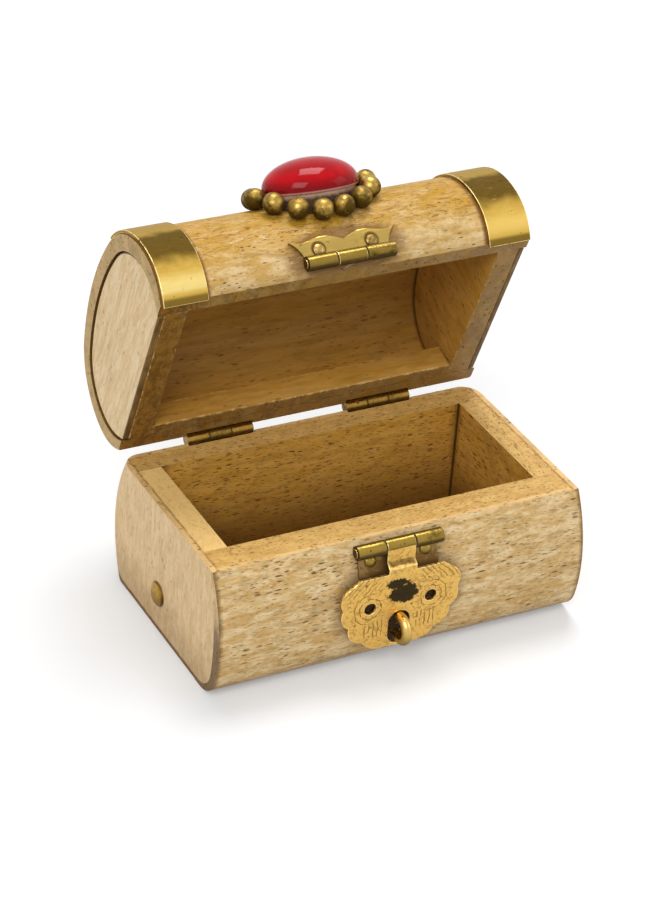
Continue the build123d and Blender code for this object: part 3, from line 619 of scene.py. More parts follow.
def bone(name, pale, warm, cell, share, faint=0.0, on_lid=False, stain=None, grain=EVEN, soil=None,
         edge=None):
    """Polished bone with flecks drawn out along cell; the given stains and painted shade go under the marks,
    soiling and painted shade along the sides over them.
    """
    def build(place):
        tint, streaks = bone_ground(place, grain, pale, warm, hues().bone_olive, faint)
        if stain:
            tint = stain(place, tint)
        tint, rough, height = bone_marks(place, grain, cell, share, faint, tint, hues().fleck, streaks)
        if soil:
            # Soiling and painted shade along the sides, such as the shade at the foot of the long panels.
            low, high, width, strength = soil
            tint = lay(tint, hues().dark_wood, soiled_sides(place, low, high, width) * strength)
        if edge:
            over_rim = place.z.ramp(LID_RIM_LEVEL + 0.6 * MM, LID_RIM_LEVEL + 1.6 * MM)
            tint = lay(tint, edge, wear(place, 0.7) * over_rim * 0.8)
        else:
            # Pale bevelled edges: partly worn, partly a painted highlight.
            tint = lay(tint, shade.rubbed_bone, wear(place, 0.3) * 0.6)
        return {"Base Color": tint, "Roughness": rough, "Height": height}

    return material(name, build, on_lid, relief=0.14, specular=0.15)


def wood(name, main_tint, dark, cell, share, on_lid=False, gloom=None, grain=(6, 1, 1), strength=0.8,
         rubbed=0.45):
    """Waxed wood; a given function adds soiling, joints, painted shade and painted light to it."""
    def build(place):
        tint, rough, height = wood_grain(
            place, grain, cell, share, strength, main_tint, dark, hues().fleck)
        if gloom:
            tint = gloom(place, tint)
        # Pale bevelled edges: partly worn, partly a painted highlight.
        tint = lay(tint, shade.rubbed_wood, wear(place, 0.3) * rubbed)
        return {"Base Color": tint, "Roughness": rough, "Height": height}

    return material(name, build, on_lid, relief=0.12, specular=0.18)


def brass(name, tarnish, polish, bright, dull=None, on_lid=False, grime=None, marks=None, shine=None,
          relief=0.05):
    """Aged brass; one given mask darkens it with soiling and painted shade, another lightens it where it is
    worn and painted with a highlight, and marks cuts lines into it.
    """
    def build(place):
        dirt = grime(place) if grime else 0.0
        tint, rough, height, dulled = aged_brass(
            place, bright, dull or hues().brass_tarnish, tarnish, dirt, polish)
        if shine:
            # Worn and painted highlight where the given mask says.
            tint = lay(tint, shade.polished_brass, shine(place))
        if marks:
            cut, black = marks(place)
            # The black mask also brings the painted shade in the hasp's fold.
            tint = lay(lay(tint, shade.cut_line, cut * 0.7), shade.smudge, black)
            height = height - cut * 2.0
            rough = rough + black * 0.4
        return {"Base Color": tint, "Roughness": rough, "Height": height,
                "Metallic": dulled.ramp(0.0, 1.2, 1.0, 0.92)}

    return material(name, build, on_lid, relief=relief)


def long_panel_bone():
    """Front and back of the base, with soiling and painted shade round and behind the hasp's plate, its holes
    and the staple's slot, and painted shade along the foot.
    """
    holes = [(HASP.x + out, 13.8 * MM, 2.1 * MM, 2.1 * MM) for out in mm(-6.0, 6.6)]
    slot = (HASP.x + 0.6 * MM, 8.0 * MM, 3.7 * MM, 5.0 * MM)
    plate = (HASP.x, 14.6 * MM, 13.8 * MM, 10.5 * MM)

    def behind_hasp(place, tint):
        # Soiling and painted shade round and behind the plate, and in its holes and the staple's slot.
        dirt = oval(place, *plate).ramp(0.8, 1.12, 0.5, 0.0)
        for spot in (*holes, slot):
            dirt = dirt.most(oval(place, *spot).ramp(0.95, 1.2, 1.0, 0.0))
        # Painted shade along the foot, next to the floor.
        tint = lay(tint, shade.panel_foot, place.z.ramp(0.8 * MM, 5 * MM, 0.5, 0.0))
        return lay(tint, shade.old_dirt, dirt * place.y.below(0.0))

    beyond = 30 * MM
    low = Vector((-HALF_LENGTH, -beyond, 0.3 * MM))
    high = Vector((HALF_LENGTH, beyond, RIM_LEVEL + 2 * MM))
    cell = (chosen().fleck_length, 2.6 * MM, chosen().fleck_thickness)
    return bone("Bone_long_panels", hues().bone_pale, hues().bone_warm, cell, 0.8, grain=(3.4, 1.4, 1),
                stain=behind_hasp, soil=(low, high, 1.1 * MM, 0.75))


def end_panel_bone():
    """Ends of the base: paler, with upright flecks, browner towards the foot with painted shade, and dark
    round the tack.
    """
    foot_height = 12 * MM

    def round_tack(place, tint):
        off = place - TACK
        reach = (off.y * off.y + off.z * off.z).root()
        foot = place.z + ragged(place, 4 * MM, foot_height)
        # Painted shade, browner towards the foot.
        tint = lay(tint, shade.end_foot, foot.ramp(0.0, foot_height, 0.35, 0.0))
        ring = reach.ramp(TACK_RADIUS * 1.02, TACK_RADIUS * 1.25, 0.85, 0.0)
        return lay(tint, shade.tack_ring, ring)

    beyond = Vector(mm(40, 2, 2))
    low = corners("base_left_end_panel")[0] - beyond
    high = corners("base_right_end_panel")[1] + beyond
    return bone("Bone_end_panels", hues().bone_end, between(hues().bone_end, hues().bone_warm, 0.45),
                mm(3, 0.5, 2.4), 0.35, faint=0.65, grain=(1.2, 1, 3.2), stain=round_tack,
                soil=(low, high, 1.6 * MM, 0.4))


def sawn_edge_bone():
    """Sawn ends of the long panels, dark in the lower half."""
    def darker_below(place, tint):
        height = place.z + ragged(place, 3 * MM, 9 * MM)
        return lay(tint, shade.sawn_low, height.ramp(13 * MM, 20 * MM, 0.82, 0.0))

    return wood("Bone_sawn_edges", between(hues().bone_end, hues().bone_warm, 0.3), hues().bone_olive,
                mm(0.9, 0.5, 1.2), 0.5, grain=(1, 1, 4), gloom=darker_below)


def rim_edge_bone():
    """Upper edges of the panels, level with the wooden rim."""
    return wood("Bone_rim_edge", shade.rim_bone, shade.rim_bone_dark, mm(1.6, 0.6, 0.5), 0.6,
                grain=(3, 3, 1),
                gloom=lambda place, tint: lay(tint, shade.joint, panel_joints(place)))


def rim_wood(way, cell, grain, brown, left):
    """Waxed rims of the base boards, with painted light towards the left end as far as left says."""
    return wood(f"Rim_wood_{way}", hues().rim_wood, between(hues().rim_wood, hues().dark_wood, 0.32),
                cell, 0.75, grain=grain, strength=0.85,
                gloom=lambda place, tint: worn_wax(place, brown, left, tint))


def inner_base_wood(way, axis, cell, grain):
    """Inner faces of the base boards, with painted shade towards the floor and the corners along one axis."""
    low, high = (getattr(corner, axis) for corner in corners("base_floor"))

    def sooty(place, tint):
        return base_soot(place, getattr(place, axis), low, high, tint, hues().dark_wood)

    return wood(f"Inner_wood_{way}", hues().inner_wood, between(hues().inner_wood, hues().dark_wood, 0.5),
                cell, 0.95, grain=grain, strength=0.9, gloom=sooty)


def floor_wood():
    """Dark floor of the base."""
    dark = hues().dark_wood
    return wood("Floor_wood", between(dark, shade.black, 0.2), between(dark, shade.black, 0.55),
                mm(2.4, 0.6, 1), 0.6, grain=(5, 1, 1))


def lid_outside_bone():
    """Outside of the lid, stained near the shoulder, dark round the catch, and with painted shadow beside the
    bands.
    """
    band_end = max(shut_point(v.co).y for v in frame["nodes"]["lid_left_cap"].data.vertices)
    catch_spot = (CATCH_X, LID_RIM_LEVEL + 3.2 * MM, 10.6 * MM, 3.9 * MM)

    def stained(place, tint):
        height = place.z - LID_RIM_LEVEL
        high = height.ramp(2 * MM, 9 * MM) * place.y.ramp(-9 * MM, 6 * MM, 1.0, 0.4)
        orange = patches(place, mm(9, 4, 4), 0.5, 0.14, 1.2)
        brown = patches(place + mm(50, 20, 10), mm(3.2, 0.9, 0.9), 0.58, 0.07, 1.6)
        squiggle = flecks(place, mm(1.7, 0.7, 0.7), 0.5, mm(23, 31, 17))
        tint = lay(tint, hues().lid_stain, high * (orange * 0.4 + 0.55))
        tint = lay(tint, shade.lid_brown, high * (brown * 0.75))
        tint = lay(tint, shade.squiggle, squiggle * 0.55)
        tint = lay(tint, hues().bone_olive, height.ramp(0.0, 1.6 * MM, 0.3, 0.0))
        halo = (oval(place, *catch_spot) + ragged(place, 2 * MM, 0.35)).ramp(0.9, 1.4, 0.75, 0.0)
        # Painted shadow on the shell beside each band.
        from_band = (HALF_LENGTH - BAND_WIDTH) - abs(place.x)
        in_front = place.y.ramp(band_end - 0.4 * MM, band_end + 0.5 * MM, 1.0, 0.0)
        beside = from_band.ramp(0.2 * MM, 1.1 * MM, 0.9, 0.0) * in_front
        return lay(tint, hues().dark_wood, (halo * place.y.below(0.0)).most(beside))

    low = Vector((-HALF_LENGTH, -1, -1))
    return bone("Lid_outside", between(hues().bone_pale, hues().bone_warm, 0.3),
                between(hues().bone_warm, hues().lid_stain, 0.3),
                (chosen().fleck_length * 0.6, 0.5 * MM, chosen().fleck_thickness * 0.7), 0.22,
                on_lid=True, stain=stained, grain=(3.4, 1, 1), soil=(low, -low, 1.4 * MM, 0.6))


def sooty_lid_wood(name, main_share, dark_share, grain, strength):
    """Wood inside the lid, with painted shade towards the top of the vault."""
    inner, dark = hues().inner_wood, hues().dark_wood
    return wood(name, between(inner, dark, main_share), between(inner, dark, dark_share),
                mm(2.6, 0.6, 0.6), 0.5, on_lid=True, grain=grain, strength=strength,
                gloom=lambda place, tint: lid_soot(place, tint, dark))


def lid_end_board_wood():
    """End boards as seen inside the lid."""
    inner, dark = hues().inner_wood, hues().dark_wood
    return wood("Lid_end_boards_inside", between(inner, dark, 0.3), between(inner, dark, 0.6),
                mm(1, 0.6, 1.6), 0.5, on_lid=True, grain=(1, 1.2, 4), strength=0.6)


def lid_shell_end_wood():
    """Ends of the lid's shell."""
    return wood("Lid_shell_ends", shade.shell_end, between(hues().bone_olive, hues().dark_wood, 0.4),
                mm(0.8, 1.2, 0.7), 0.4, on_lid=True, grain=(1, 2, 2))


def lid_rim_wood():
    """Rim of the lid, soiled in blotches, with painted shade towards the left end."""
    def grubby(place, tint):
        blots = patches(place, mm(1.6, 2.4, 1.6), 0.52, 0.10, 1.2)
        # Painted shade towards the left end, where the blotches are stronger too.
        left = place.x.ramp(-HALF_LENGTH, -0.6 * HALF_LENGTH, 0.85, 0.0)
        tint = lay(tint, shade.lid_rim_left, left)
        return lay(tint, shade.lid_rim_blot, blots * place.x.ramp(-HALF_LENGTH, 0.0, 0.6, 0.15))

    return wood("Lid_rim", between(hues().bone_olive, hues().dark_wood, 0.6),
                between(hues().lid_stain, hues().dark_wood, 0.45), mm(1, 1, 0.8), 0.45, on_lid=True,
                grain=(2, 2, 1), strength=0.6, gloom=grubby)


def lid_end_bone():
    """D-shaped panels: pinkish cream, with faint upright streaks and a dark border."""
    return bone("Bone_lid_ends", shade.lid_end, between(hues().bone_end, hues().bone_warm, 0.45),
                mm(3, 2.6, 0.5), 0.2, faint=0.7, on_lid=True, grain=(1, 5, 0.8), edge=shade.lid_end_edge)


def lid_end_rim_bone():
    """Sawn lower edges of the D-shaped panels."""
    return wood("Bone_lid_end_rims", shade.lid_end_rim, shade.lid_end_rim_dark, mm(0.7, 0.7, 0.6), 0.3,
                on_lid=True, grain=(1, 3, 1), strength=0.4, rubbed=0.0)


def band_brass():
    """Corner bands: worn bright with a painted highlight over the low front, stronger on the left band; dull
    brown-green over the shoulder, partly tarnish and partly painted shade.
    """
    def shoulder(place):
        # Partly tarnish, partly painted shade: a dark band over the shoulder, and darker along the lower
        # edge.
        height = place.z - LID_RIM_LEVEL
        rise = height + ragged(place, 4 * MM, 3 * MM, 3.0)
        band = rise.ramp(2.6 * MM, 8.4 * MM) * rise.ramp(13 * MM, 15 * MM, 1.0, 0.6)
        return band.most(height.ramp(-0.1 * MM, 0.6 * MM, 0.8, 0.0))

    def rubbed(place):
        # Worn and painted highlight low on the front, stronger on the left band.
        height = place.z - LID_RIM_LEVEL
        low_front = height.ramp(0.5 * MM, 1.3 * MM) * height.ramp(2.0 * MM, 4.6 * MM, 1.0, 0.0)
        return low_front * place.x.ramp(-1 * MM, 1 * MM, 0.45, 0.12)

    return brass("Brass_corner_bands", 0.14, 0.3, shade.band, shade.band_dull, on_lid=True,
                 grime=shoulder, shine=rubbed)


def red_stone():
    """Glossy stone, dark at its foot and crown, with a pale skirt where the cement shows through."""
    def red(place):
        cloud = noise(place, 3 * MM, 4.0, 0.6, 0.5)
        out = (place - STONE_SEAT).dot(STONE_OUT)
        tint = lay(hues().stone_red, shade.stone_cloud, cloud.ramp(0.35, 0.8, 0.0, 0.5))
        tint = lay(tint, shade.stone_foot, out.ramp(3 * MM, 7.6 * MM, 0.75, 0.0))
        tint = lay(tint, shade.stone_crown, out.ramp(4.8 * MM, 7.0 * MM, 0.0, 0.7))
        tint = lay(tint, shade.stone_skirt, out.ramp(2.5 * MM, 2.9 * MM, 0.85, 0.0))
        return {"Base Color": tint, "Roughness": cloud.ramp(0.2, 0.8, 0.06, 0.12)}

    return material("Red_stone", red, on_lid=True, specular=0.14)


def setting_cement():
    """Chalky bed, dirty in patches, with painted shade where it meets the lid among the beads."""
    def chalk(place):
        grains = noise(place, 0.7 * MM, 5.0, 0.65)
        out = (place - STONE_SEAT).dot(STONE_OUT) + (grains - 0.5) * MM
        tint = lay(hues().cement, shade.cement_dirty, patches(place, mm(2, 2, 2), 0.58, 0.15) * 0.6)
        # Painted shade low on the bed, among the beads.
        tint = lay(tint, shade.cement_foot, out.ramp(1.2 * MM, 2.1 * MM, 0.95, 0.0))
        return {"Base Color": tint, "Roughness": grains.ramp(0.2, 0.8, 0.6, 0.85), "Height": grains}

    return material("Setting_cement", chalk, on_lid=True, relief=0.15)


def bead_brass():
    """Beads, with painted shade underneath where they meet the lid."""
    def under(place):
        out = ((place - SHOULDER) * (0, 1, 1)).length()
        # Painted shade low on each bead, next to the lid.
        return out.ramp(15.2 * MM, 16.8 * MM, 1.0, 0.0)

    return brass("Brass_beads", 0.40, 0.26, shade.bead, shade.bead_dull, on_lid=True, grime=under)


def catch_leaf_brass():
    """Pale leaf with worn and highlit edges, painted shade in the groove over the knuckles, and dark round
    the nails.
    """
    nail_level, nail_out = LID_RIM_LEVEL + 3.7 * MM, 5.4 * MM

    def groove(place):
        up = place.z - LID_RIM_LEVEL + ragged(place, 1.5 * MM, 1.2 * MM)
        rings = nail_rings(place, nail_level, CATCH_X - nail_out, CATCH_X + nail_out)
        # Painted shade in the groove just over the knuckles, and dark rings round the nails.
        return rings.most(up.ramp(2.3 * MM, 2.9 * MM, 0.95, 0.0))

    return brass("Brass_catch_plate", 0.24, 0.3, shade.catch, on_lid=True, grime=groove)


def knuckle_brass(name, bright, centre, on_lid=False):
    """Rolled knuckles, with painted shade off their lit crest and dark at the joints."""
    def dull(place):
        joints = knuckle_joints(place, centre - KNUCKLE_JOINT_OUT, centre + KNUCKLE_JOINT_OUT)
        # Painted shade off the lit crest, and the dark joints.
        return off_crest(facing(place)).most(joints)

    return brass(name, 0.30, 0.19, bright, shade.knuckle_dull, on_lid=on_lid, grime=dull)


def hinge_brass(name, on_lid=False):
    """Back hinges: the darkest of the brass; the painted shade on faces that look down leaves bright tops on
    the knuckles.
    """
    inner, outer = HINGE_X - HINGE_JOINT_OUT, HINGE_X + HINGE_JOINT_OUT

    def joints(place):
        return knuckle_joints(place, inner, outer).most(knuckle_joints(place, -outer, -inner))

    return brass(name, 0.34, 0.2, shade.hinge, on_lid=on_lid, grime=joints)


def hasp_leaf_brass():
    """Antique leaf, dark under the barrel and round the nails."""
    nail_level, nail_out = HASP.z - 2.6 * MM, 5.7 * MM

    def shadow(place):
        down = HASP.z - (place.z + ragged(place, 1.2 * MM, 1.5 * MM))
        rings = nail_rings(place, nail_level, HASP.x - nail_out, HASP.x + nail_out)
        return rings.most(down.ramp(0.7 * MM, 1.5 * MM, 0.0, 0.75))

    return brass("Brass_hasp_leaf", 0.42, 0.22, shade.hasp_leaf, shade.hasp_leaf_dull, grime=shadow)


def engraving(place, drawn):
    """Plain cut lines on the hasp's plate: slanted, round the holes, and upright below."""
    across, up = drawn.x - HASP.x, drawn.z - 17.6 * MM
    aside = abs(across)
    hole_x, hole_z = aside - HOLE_OUT, drawn.z - HOLE_LEVEL
    hole = (hole_x * hole_x + hole_z * hole_z).root()

    slanted = (aside + up * 0.9).folded(0.55 * MM).ramp(0.05 * MM, 0.16 * MM, 1.0, 0.0)
    slanted = slanted * (up.ramp(-0.4 * MM, 0.2 * MM) * aside.ramp(3.6 * MM, 4.2 * MM))
    inner_ring = abs(hole - 2.2 * MM).ramp(0.06 * MM, 0.16 * MM, 1.0, 0.0)
    outer_ring = abs(hole - 3.3 * MM).ramp(0.05 * MM, 0.14 * MM, 1.0, 0.0)
    outer_ring = outer_ring * aside.ramp(4.5 * MM, 6.5 * MM)
    upright = across.folded(0.45 * MM).ramp(0.05 * MM, 0.14 * MM, 1.0, 0.0)
    lower = drawn.z.ramp(7.4 * MM, 8.0 * MM) * drawn.z.ramp(11.0 * MM, 11.6 * MM, 1.0, 0.0)
    lower = lower * (aside.ramp(3.2 * MM, 3.7 * MM) * aside.ramp(7.6 * MM, 8.2 * MM, 1.0, 0.0))

    lines = slanted.most(inner_ring.most(outer_ring.most(upright * lower)))
    skipped = noise(place, 1.1 * MM).ramp(0.36, 0.48)
    return lines * skipped * hole.ramp(1.5 * MM, 1.9 * MM)


def burns(place, drawn):
    """Blackened middle of the hasp's plate, and the dark fold over it, partly tarnish and partly painted
    shade.
    """
    push = ragged(place, 1.3 * MM, 1.6, 5.0, 0.7)
    lower = oval(place, HASP.x + 0.6 * MM, 16.2 * MM, 3.3 * MM, 2.1 * MM) + push
    upper = oval(place, HASP.x - 1.2 * MM, 18.6 * MM, 2.5 * MM, 1.1 * MM) + push
    # Partly tarnish, partly painted shade in the fold.
    fold = abs(drawn.z - (HASP.z - 2.9 * MM)).ramp(0.25 * MM, 0.6 * MM, 0.75, 0.0)
    fold = fold * abs(drawn.x - HASP.x).ramp(2.4 * MM, 2.9 * MM, 1.0, 0.3)
    return fold.most(lower.least(upper).ramp(0.85, 1.1, 0.95, 0.0))


def plate_marks(place):
    """Cut lines and pits on the hasp's plate, then what is black on it and the painted shade in its fold."""
    drawn = jostled(place, 700.0, mm(0.9, 0.9, 0.9))
    pits = noise(place, 0.7 * MM, 4.0, 0.7, 0.8).ramp(0.50, 0.64, 0.0, 0.55)
    return engraving(place, drawn).most(pits), burns(place, drawn)


def hasp_plate_brass():
    """Golden plate with cut lines and a blackened middle."""
    return brass("Brass_hasp_plate", 0.16, 0.26, shade.plate, shade.plate_dull, marks=plate_marks,
                 relief=0.06)


# Meshes

def copy_of(node):
    """The joined-up mesh of a CAD node, with the small flat triangles run together."""
    bm = bmesh.new()
    bm.from_mesh(frame["nodes"][node].data)
    bmesh.ops.remove_doubles(bm, verts=bm.verts, dist=0.002 * MM)
    bmesh.ops.dissolve_limit(bm, angle_limit=radians(0.3), verts=bm.verts, edges=bm.edges)
    return bm


def soften(bm, width, segments):
    """Rounds the sharp outer edges and marks the new faces, so that a finish can show worn edges and a
    painted highlight there.
    """
    mark = bm.faces.layers.float.new("edge")
    if width:
        sharp = [e for e in bm.edges if len(e.link_faces) == 2 and e.calc_face_angle_signed(0) > SHARP]
        made = bmesh.ops.bevel(bm, geom=sharp, offset=width, offset_type="OFFSET", affect="EDGES",
                               segments=segments, profile=0.5, material=-1, clamp_overlap=True)
        for face in made["faces"]:
            face[mark] = 1.0
    for face in bm.faces:
        face.smooth = True
    for edge in bm.edges:
        if len(edge.link_faces) == 2 and abs(edge.calc_face_angle_signed(0)) > SHARP:
            edge.smooth = False


def dress(node, body, materials, width=0.0, segments=2, rule=None):
    """A CAD node's own shape with softened edges; rule gives each face one of the materials."""
    if node not in frame["nodes"]:
        raise RuntimeError(f"the frame has no piece called {node}")
    bm = copy_of(node)
    soften(bm, width, segments)
    if rule:
        bm.normal_update()
        for face in bm.faces:
            face.material_index = rule(face)
    name = node + "_finished"
    mesh = bpy.data.meshes.new(name)
    bm.to_mesh(mesh)
    bm.free()
    for each in materials:
        mesh.materials.append(each)
    piece = bpy.data.objects.new(name, mesh)
    bpy.context.scene.collection.objects.link(piece)
    even = piece.modifiers.new("Even shading", "WEIGHTED_NORMAL")
    even.keep_sharp = True
    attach(piece, body)
    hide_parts(node)


def shut_vector(direction):
    """A direction on the open lid as it is when the lid is shut."""
    return Matrix.Rotation(chosen().lid_angle, 3, "X") @ direction


def shut_point(point):
    """A point on the open lid as it is when the lid is shut."""
    return HINGE + shut_vector(point - HINGE)


# Which of its materials a face takes

def level_rule(face):
    """Second finish on level upper faces."""
    return 1 if face.normal.z > 0.8 else 0


def long_panel_rule(face):
    """Second finish on the sawn ends, third on the upper edge."""
    if abs(face.normal.x) > 0.7:
        return 1
    return 2 * level_rule(face)


def board_rule(face):
    """First finish on the rim and its rounded edges, second on the inner face."""
    return 0 if face.normal.z > 0.35 else 1


def shell_rule(face):
    """First finish outside, second inside, third on the ends, fourth on the rim."""
    normal, centre = shut_vector(face.normal), shut_point(face.calc_center_median())
    if abs(normal.x) > 0.8:
        return 2
    if normal.z < -0.75 and centre.z < LID_RIM_LEVEL + 0.4 * MM:
        return 3
    away = centre - LID_CORE
    away.x = 0
    return 0 if normal.dot(away) > 0 else 1


def lid_rim_rule(steepness):
    """Second finish on faces that look down when the lid is shut."""
    return lambda face: 1 if shut_vector(face.normal).z < -steepness else 0


def barrel_rule(axis):
    """Second finish on a barrel rolled about an axis along the box."""
    def rule(face):
        off = face.calc_center_median() - axis
        return 1 if Vector((0, off.y, off.z)).length < BARREL_REACH else 0
    return rule


# Operators

class CHEST_OT_base_panels(bpy.types.Operator):
    """Bone panels round the base: front, back, underside and both ends."""

    bl_idname = "chest.base_panels"
    bl_label = "Base panels"

    def execute(self, context):
        """Dresses the long panels alike and the ends paler; the underside has no rim."""
        long_bone, end_bone = long_panel_bone(), end_panel_bone()
        sawn, rim = sawn_edge_bone(), rim_edge_bone()
        edge = chosen().bone_edge
        for side in ("front", "back"):
            dress(f"base_{side}_panel", "base", [long_bone, sawn, rim], edge, rule=long_panel_rule)
        dress("base_bottom_panel", "base", [long_bone], HIDDEN_EDGE, segments=1)
        for side in ("left", "right"):
            dress(f"base_{side}_end_panel", "base", [end_bone, rim], edge, rule=level_rule)
        return {"FINISHED"}


class CHEST_OT_base_boards(bpy.types.Operator):
    """Wooden core of the base: four boards and the floor."""

    bl_idname = "chest.base_boards"
    bl_label = "Base boards and floor"

    def execute(self, context):
        """Gives each board a pale waxed rim and a darker inner face."""
        along = [rim_wood("along", mm(1.5, 0.45, 0.8), (4, 1, 1), 0.12, 0.0),
                 inner_base_wood("along", "x", mm(2.2, 1, 0.42), (3.5, 1, 1))]
        across = [rim_wood("across", mm(0.45, 1.5, 0.8), (1, 4, 1), 0.0, 0.6),
                  inner_base_wood("across", "y", mm(1, 2.1, 0.45), (1, 3, 1.1))]
        for side, finish in (("front", along), ("back", along), ("left_end", across), ("right_end", across)):
            dress(f"base_{side}_board", "base", finish, chosen().wood_edge, rule=board_rule)
        dress("base_floor", "base", [floor_wood()], HIDDEN_EDGE, segments=1)
        return {"FINISHED"}


class CHEST_OT_lid_wood(bpy.types.Operator):
    """Domed lid: curved shell, end boards and back rail."""

    bl_idname = "chest.lid_wood"
    bl_label = "Lid shell and boards"

    def execute(self, context):
        """Outside is bone-like with stains near the shoulder, inside golden brown, rim dark."""
        outer, rim = lid_outside_bone(), lid_rim_wood()
        vault = sooty_lid_wood("Lid_inside", 0.0, 0.5, (7, 1, 1), 0.6)
        rail = sooty_lid_wood("Lid_back_rail", 0.32, 0.7, (6, 1, 1), 0.7)
        board = lid_end_board_wood()
        dress("lid_shell", "lid", [outer, vault, lid_shell_end_wood(), rim], chosen().wood_edge,
              segments=3, rule=shell_rule)
        for side in ("left", "right"):
            dress(f"lid_{side}_end_board", "lid", [board, rim], END_BOARD_EDGE,
                  rule=lid_rim_rule(0.5))
        dress("lid_back_rail", "lid", [rail, rim], RAIL_EDGE, rule=lid_rim_rule(0.5))
        return {"FINISHED"}


class CHEST_OT_lid_end_panels(bpy.types.Operator):
    """Pale D-shaped bone panels in the ends of the lid."""

    bl_idname = "chest.lid_end_panels"
    bl_label = "Lid end panels"

    def execute(self, context):
        """Dresses both panels, with a dark sawn rim."""
        finish = [lid_end_bone(), lid_end_rim_bone()]
        for side in ("left", "right"):
            dress(f"lid_{side}_end_panel", "lid", finish, END_PANEL_EDGE, rule=lid_rim_rule(0.3))
        return {"FINISHED"}


class CHEST_OT_lid_caps(bpy.types.Operator):
    """Brass bands over the front corners of the lid."""

    bl_idname = "chest.lid_caps"
    bl_label = "Lid corner bands"

    def execute(self, context):
        """Dresses both bands alike."""
        finish = [band_brass()]
        for side in ("left", "right"):
            dress(f"lid_{side}_cap", "lid", finish, chosen().brass_edge, segments=3)
        return {"FINISHED"}


class CHEST_OT_stone(bpy.types.Operator):
    """Red stone on its cement bed, ringed with brass beads."""

    bl_idname = "chest.stone"
    bl_label = "Stone, bed and beads"

    def execute(self, context):
        """Dresses the setting from the lid outwards."""
        dress("stone_bed", "lid", [setting_cement()], BED_EDGE)
        dress("stone", "lid", [red_stone()], STONE_EDGE, segments=3)
        dress("bead_ring", "lid", [bead_brass()])
        return {"FINISHED"}


class CHEST_OT_catch(bpy.types.Operator):
    """Catch plate on the lid, with its knuckles, sleeve, pin and nails."""

    bl_idname = "chest.catch"
    bl_label = "Catch plate"

    def execute(self, context):
        """Dresses the leaf and its barrel; sleeve and pin look like the knuckles."""
        rolled = knuckle_brass("Brass_catch_knuckles", shade.catch_knuckle, CATCH_X, on_lid=True)
        nail = brass("Brass_catch_nails", 0.4, 0.24, shade.catch_nail, on_lid=True)
        dress("catch_plate", "lid", [catch_leaf_brass(), rolled], chosen().brass_edge,
              rule=barrel_rule(middle("catch_sleeve")))
        dress("catch_sleeve", "lid", [rolled], chosen().brass_edge)
        dress("catch_pin", "lid", [rolled], PIN_EDGE)
        dress("catch_plate_nails", "lid", [nail])
        return {"FINISHED"}


class CHEST_OT_back_hinges(bpy.types.Operator):
    """Two small hinges at the back, their pins and nails."""

    bl_idname = "chest.back_hinges"
    bl_label = "Back hinges"

    def execute(self, context):
        """Dresses each half with the body it moves with; the pins stay with the base."""
        on_base = hinge_brass("Brass_hinges_on_the_base")
        on_lid = hinge_brass("Brass_hinges_on_the_lid", on_lid=True)
        for side in ("left", "right"):
            dress(f"{side}_hinge_base_leaf", "base", [on_base], HIDDEN_EDGE)
            dress(f"{side}_hinge_lid_leaf", "lid", [on_lid], HIDDEN_EDGE)
            dress(f"{side}_hinge_pin", "base", [on_base], PIN_EDGE)
        dress("hinge_base_nails", "base", [on_base])
        dress("hinge_lid_nails", "lid", [on_lid])
        return {"FINISHED"}


class CHEST_OT_hasp(bpy.types.Operator):
    """Hasp on the base: leaf, pin, nails, swinging plate and staple."""

    bl_idname = "chest.hasp"
    bl_label = "Hasp and staple"

    def execute(self, context):
        """Dresses the leaf antique, the plate golden and the staple bright."""
        rolled = knuckle_brass("Brass_hasp_knuckles", shade.hasp_knuckle, HASP.x)
        rule = barrel_rule(HASP)
        dress("hasp_leaf", "base", [hasp_leaf_brass(), rolled], chosen().brass_edge, rule=rule)
        dress("hasp_pin", "base", [rolled], PIN_EDGE)
        dress("hasp_leaf_nails", "base", [rolled])
        dress("hasp_plate", "hasp", [hasp_plate_brass(), rolled], chosen().brass_edge, segments=3,
              rule=rule)
        dress("hasp_staple", "base", [brass("Brass_staple", 0.24, 0.2, shade.staple)])
        return {"FINISHED"}


class CHEST_OT_end_tacks(bpy.types.Operator):
    """Domed brass tacks in the ends of the base."""

    bl_idname = "chest.end_tacks"
    bl_label = "End tacks"

    def execute(self, context):
        """Dresses both tacks, dull, with painted shade on faces that look down leaving them brighter on top.
        """
        dress("base_end_tacks", "base", [brass("Brass_tacks", 0.36, 0.24, shade.tack)])
        return {"FINISHED"}


# Stage

def lamp(name, place, size, power):
    """Large square light at a place, facing the box."""
    aim = Vector((0, 0, 30 * MM))
    data = bpy.data.lights.new(name, "AREA")
    data.shape = "SQUARE"
    data.size = size
    data.energy = power
    light = bpy.data.objects.new(name, data)
    light.location = place
    light.rotation_euler = (Vector(place) - aim).to_track_quat("Z", "Y").to_euler()
    bpy.context.scene.collection.objects.link(light)


def looked_at(tree):
    """Whether the camera sees a thing itself, and whether it sees it at all, also mirrored."""
    path = put(tree, "ShaderNodeLightPath").outputs
    rays = ("Camera", "Glossy", "Transmission")
    straight, mirrored, through = (field(path[f"Is {ray} Ray"]) for ray in rays)
    return straight, straight.most(mirrored.most(through))


